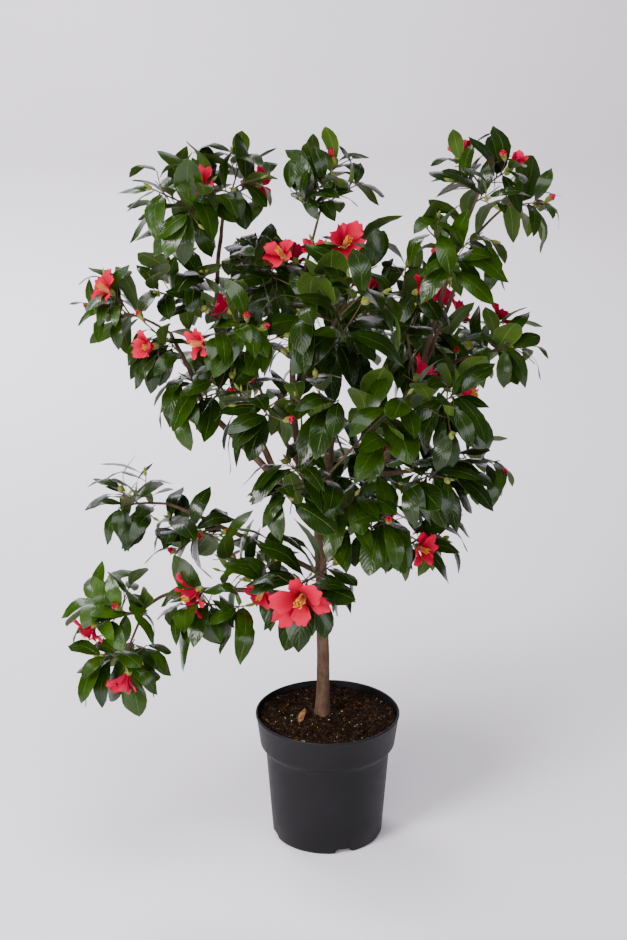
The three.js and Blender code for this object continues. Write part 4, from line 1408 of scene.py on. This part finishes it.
def scatterTree(steepest):
    # strews a collection's shapes over a surface's upper side, each turned and sized at random
    tree, given = startTree("scatter", {"Shapes": "Collection", "Density": "Float", "Smallest": "Float",
                                        "Largest": "Float", "Tilt": "Float", "Reach": "Float", "Seed": "Int",
                                        "Skin": "Material"})
    normal = outOf(tree, "GeometryNodeInputNormal")
    rise = addNode(tree, "ShaderNodeSeparateXYZ", Vector=normal).outputs[2]
    top = calculated(tree, "GREATER_THAN", rise, steepest, kind="FunctionNodeCompare", data_type="FLOAT")
    place = outOf(tree, "GeometryNodeInputPosition")
    level = calculated(tree, "MULTIPLY", place, (1, 1, 0), kind="ShaderNodeVectorMath")
    out = addNode(tree, "ShaderNodeVectorMath", {"operation": "LENGTH"}, i0=level).outputs["Value"]
    near = calculated(tree, "LESS_THAN", out, given["Reach"], kind="FunctionNodeCompare", data_type="FLOAT")
    both = calculated(tree, "AND", top, near, kind="FunctionNodeBooleanMath")
    points = outOf(tree, "GeometryNodeDistributePointsOnFaces", Mesh=given["Geometry"], Selection=both,
                   Density=given["Density"], Seed=given["Seed"])
    down = calculated(tree, "MULTIPLY", given["Tilt"], -1.0)
    low = outOf(tree, "ShaderNodeCombineXYZ", X=down, Y=down, Z=0.0)
    high = outOf(tree, "ShaderNodeCombineXYZ", X=given["Tilt"], Y=given["Tilt"], Z=fullTurn)
    turn = outOf(tree, "FunctionNodeRandomValue", {"data_type": "FLOAT_VECTOR"}, Min=low, Max=high,
                 Seed=given["Seed"])
    size = addNode(tree, "FunctionNodeRandomValue", {"data_type": "FLOAT"}, i2=given["Smallest"],
                   i3=given["Largest"], Seed=given["Seed"])
    stood = standShapes(tree, given["Shapes"], points, Rotation=turn, Scale=size.outputs[1])
    return endTree(tree, stood, given["Skin"])


scatter = scatterTree(steepest=0.35)
crumbs = lumpShelf("crumb", 4, (1, 0.8, 0.6), 0.9, 3.1)
chips = lumpShelf("chip", 4, (1.5, 0.55, 0.16), 0.6, 5.3)
fibres = lumpShelf("fibre", 3, (3.2, 0.09, 0.09), 0.8, 2.3)

# strewn on the compost: name, shapes, per square metre, sizes in mm, tilt, how far out, colours and finish
strewnRows = [
    ("compost_crumbs", crumbs, 46000, 1.8, 6.4, 1.5, 111, "crumbPeatDark",
     [(0.34, "0b0502"), (0.5, "1e0f05"), (0.66, "442a0e"), (0.82, "6b471a")], 0.95),
    ("bark_chips", chips, 1300, 4.0, 9.0, 0.5, 105, "chipPineBark",
     [(0.3, "2c1607"), (0.55, "54300f"), (0.8, "7c5022")], 0.85),
    ("white_grit", crumbs, 1900, 1.3, 3.2, 1.5, 110, "gritPerliteWhite",
     [(0.3, "a59f92"), (0.7, "d8d4c8")], 0.8),
    ("root_fibres", fibres, 3600, 2.6, 6.4, 0.5, 101, "fibreDryBrown",
     [(0.3, "5a3a14"), (0.7, "94692c")], 0.85),
]
strewnLook = dict(seed=11, grain=8)
largeChip = dict(at=(-44, -9, 214), long=14.5, turn=62, tilt=36, size=(1.9, 0.8, 0.24), rough=0.7, seed=4.2)


def largeChipPiece():
    # one big chip of bark that leans on the compost beside the stem
    c = largeChip
    mesh = lumpMesh("large_chip", c["size"], c["rough"], c["seed"])
    turned = Matrix.Rotation(c["turn"] * degree, 4, "Z") @ Matrix.Rotation(-c["tilt"] * degree, 4, "Y")
    mesh.transform(Matrix.Translation(Vector(c["at"]) * mm) @ turned @ Matrix.Scale(c["long"] * mm, 4))
    stops = [(0.3, "573a1e"), (0.55, "7c5a34"), (0.8, "9c7a50")]
    cover(mesh, plainSkin("chipPineHeartwood", stops, 5, 0.8))
    return pieceFrom("large_chip", mesh)


strewn = [largeChipPiece()]
for number, (name, shapes, density, small, large, tilt, out, finish, stops, rough) in enumerate(strewnRows):
    skin = plainSkin(finish, stops, strewnLook["grain"], rough)
    strewn.append(applyTree(pieceFrom(name + "Base", soil.data.copy()), scatter, name, Shapes=shapes,
                            Density=float(density), Smallest=small * mm, Largest=large * mm, Tilt=tilt,
                            Reach=out * mm, Seed=strewnLook["seed"] + number, Skin=skin))
print("soil made:", [len(piece.data.polygons) for piece in strewn])


# what each piece rides on and stands for

for piece in [*leafPieces.values(), twigPiece, petals, stamens, buds]:
    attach(piece, "root")
for tone, piece in leafPieces.items():
    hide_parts(*[spray["name"] for spray in sprays if spray["tone"] == tone])
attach(wood, "root")
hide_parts(*limbs)
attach(pot, "root")
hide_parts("pot")
for piece in [soil] + strewn:
    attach(piece, "root")
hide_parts("soil")


# floor, light and camera

studio = dict(width=10.0, front=-4.5, back=5.4, bend=1.4, bendSteps=16, wallHeight=4.5, ambient=0.175)


def studioFloor():
    # matt paper, rolled out and swept up behind
    material, tree, surface = newMaterial("paperMattGrey", Roughness=0.9, IOR=1.4)
    coloured(tree, surface, colourRamp(tree, noiseAt(tree, 900, 2.0), [(0.3, "f4eff5"), (0.7, "f8f3f9")]))
    bend, half = studio["bend"], studio["width"] / 2
    line = [(studio["front"], 0.0)]
    for turn in np.linspace(0, math.pi / 2, studio["bendSteps"] + 1):
        line.append((studio["back"] + bend * math.sin(turn), bend * (1 - math.cos(turn))))
    line.append((studio["back"] + bend, studio["wallHeight"]))
    points = [(x, y, z) for y, z in line for x in (-half, half)]
    faces = [(2 * i, 2 * i + 1, 2 * i + 3, 2 * i + 2) for i in range(len(line) - 1)]
    mesh = meshFrom("studio_floor", points, faces)
    cover(mesh, material)
    smooth(mesh)
    pieceFrom("studio_floor", mesh)


def areaLight(name, place, target, size, power, colour):
    # a round lamp in front of the wall, which the camera itself doesn't see
    light = bpy.data.lights.new(name, "AREA")
    light.shape = "DISK"
    light.size = size
    light.energy = power
    light.color = linearColour(colour)[:3]
    lamp = pieceFrom(name, light)
    lamp.location = place
    lamp.rotation_euler = (Vector(target) - Vector(place)).to_track_quat("-Z", "Y").to_euler()
    lamp.visible_camera = False


studioFloor()
areaLight("key", (-2.6, -2.7, 2.4), (0, 0, 0.6), 1.6, 225, "fffdfc")
areaLight("overhead", (-0.4, -0.9, 3.6), (0, -0.4, 0), 2.2, 84, "fbfaff")
areaLight("front", (-0.6, -3.9, 1.2), (0, 0, 0.4), 1.7, 66, "fffdfc")
areaLight("fill", (2.6, -2.2, 1.5), (0.2, 0, 0.1), 1.8, 46, "f8f7ff")
areaLight("backdrop", (-1.7, 2.7, 3.4), (-1.3, 4.8, 0), 2.4, 300, "fbf9ff")
world = bpy.data.worlds.new("studio")
world.use_nodes = True
world.node_tree.nodes["Background"].inputs["Color"].default_value = linearColour("eceef2")
world.node_tree.nodes["Background"].inputs["Strength"].default_value = studio["ambient"]
bpy.context.scene.world = world

cameraView = dict(lens=82.7, sensor=36, place=(-0.0235, -3.240, 1.840), down=20.2)
lens = bpy.data.cameras.new("camera")
lens.lens = cameraView["lens"]
lens.sensor_width = cameraView["sensor"]
camera = pieceFrom("camera", lens)
camera.location = cameraView["place"]
camera.rotation_euler = ((90 - cameraView["down"]) * degree, 0, 0)
bpy.context.scene.camera = camera
print("studio set")
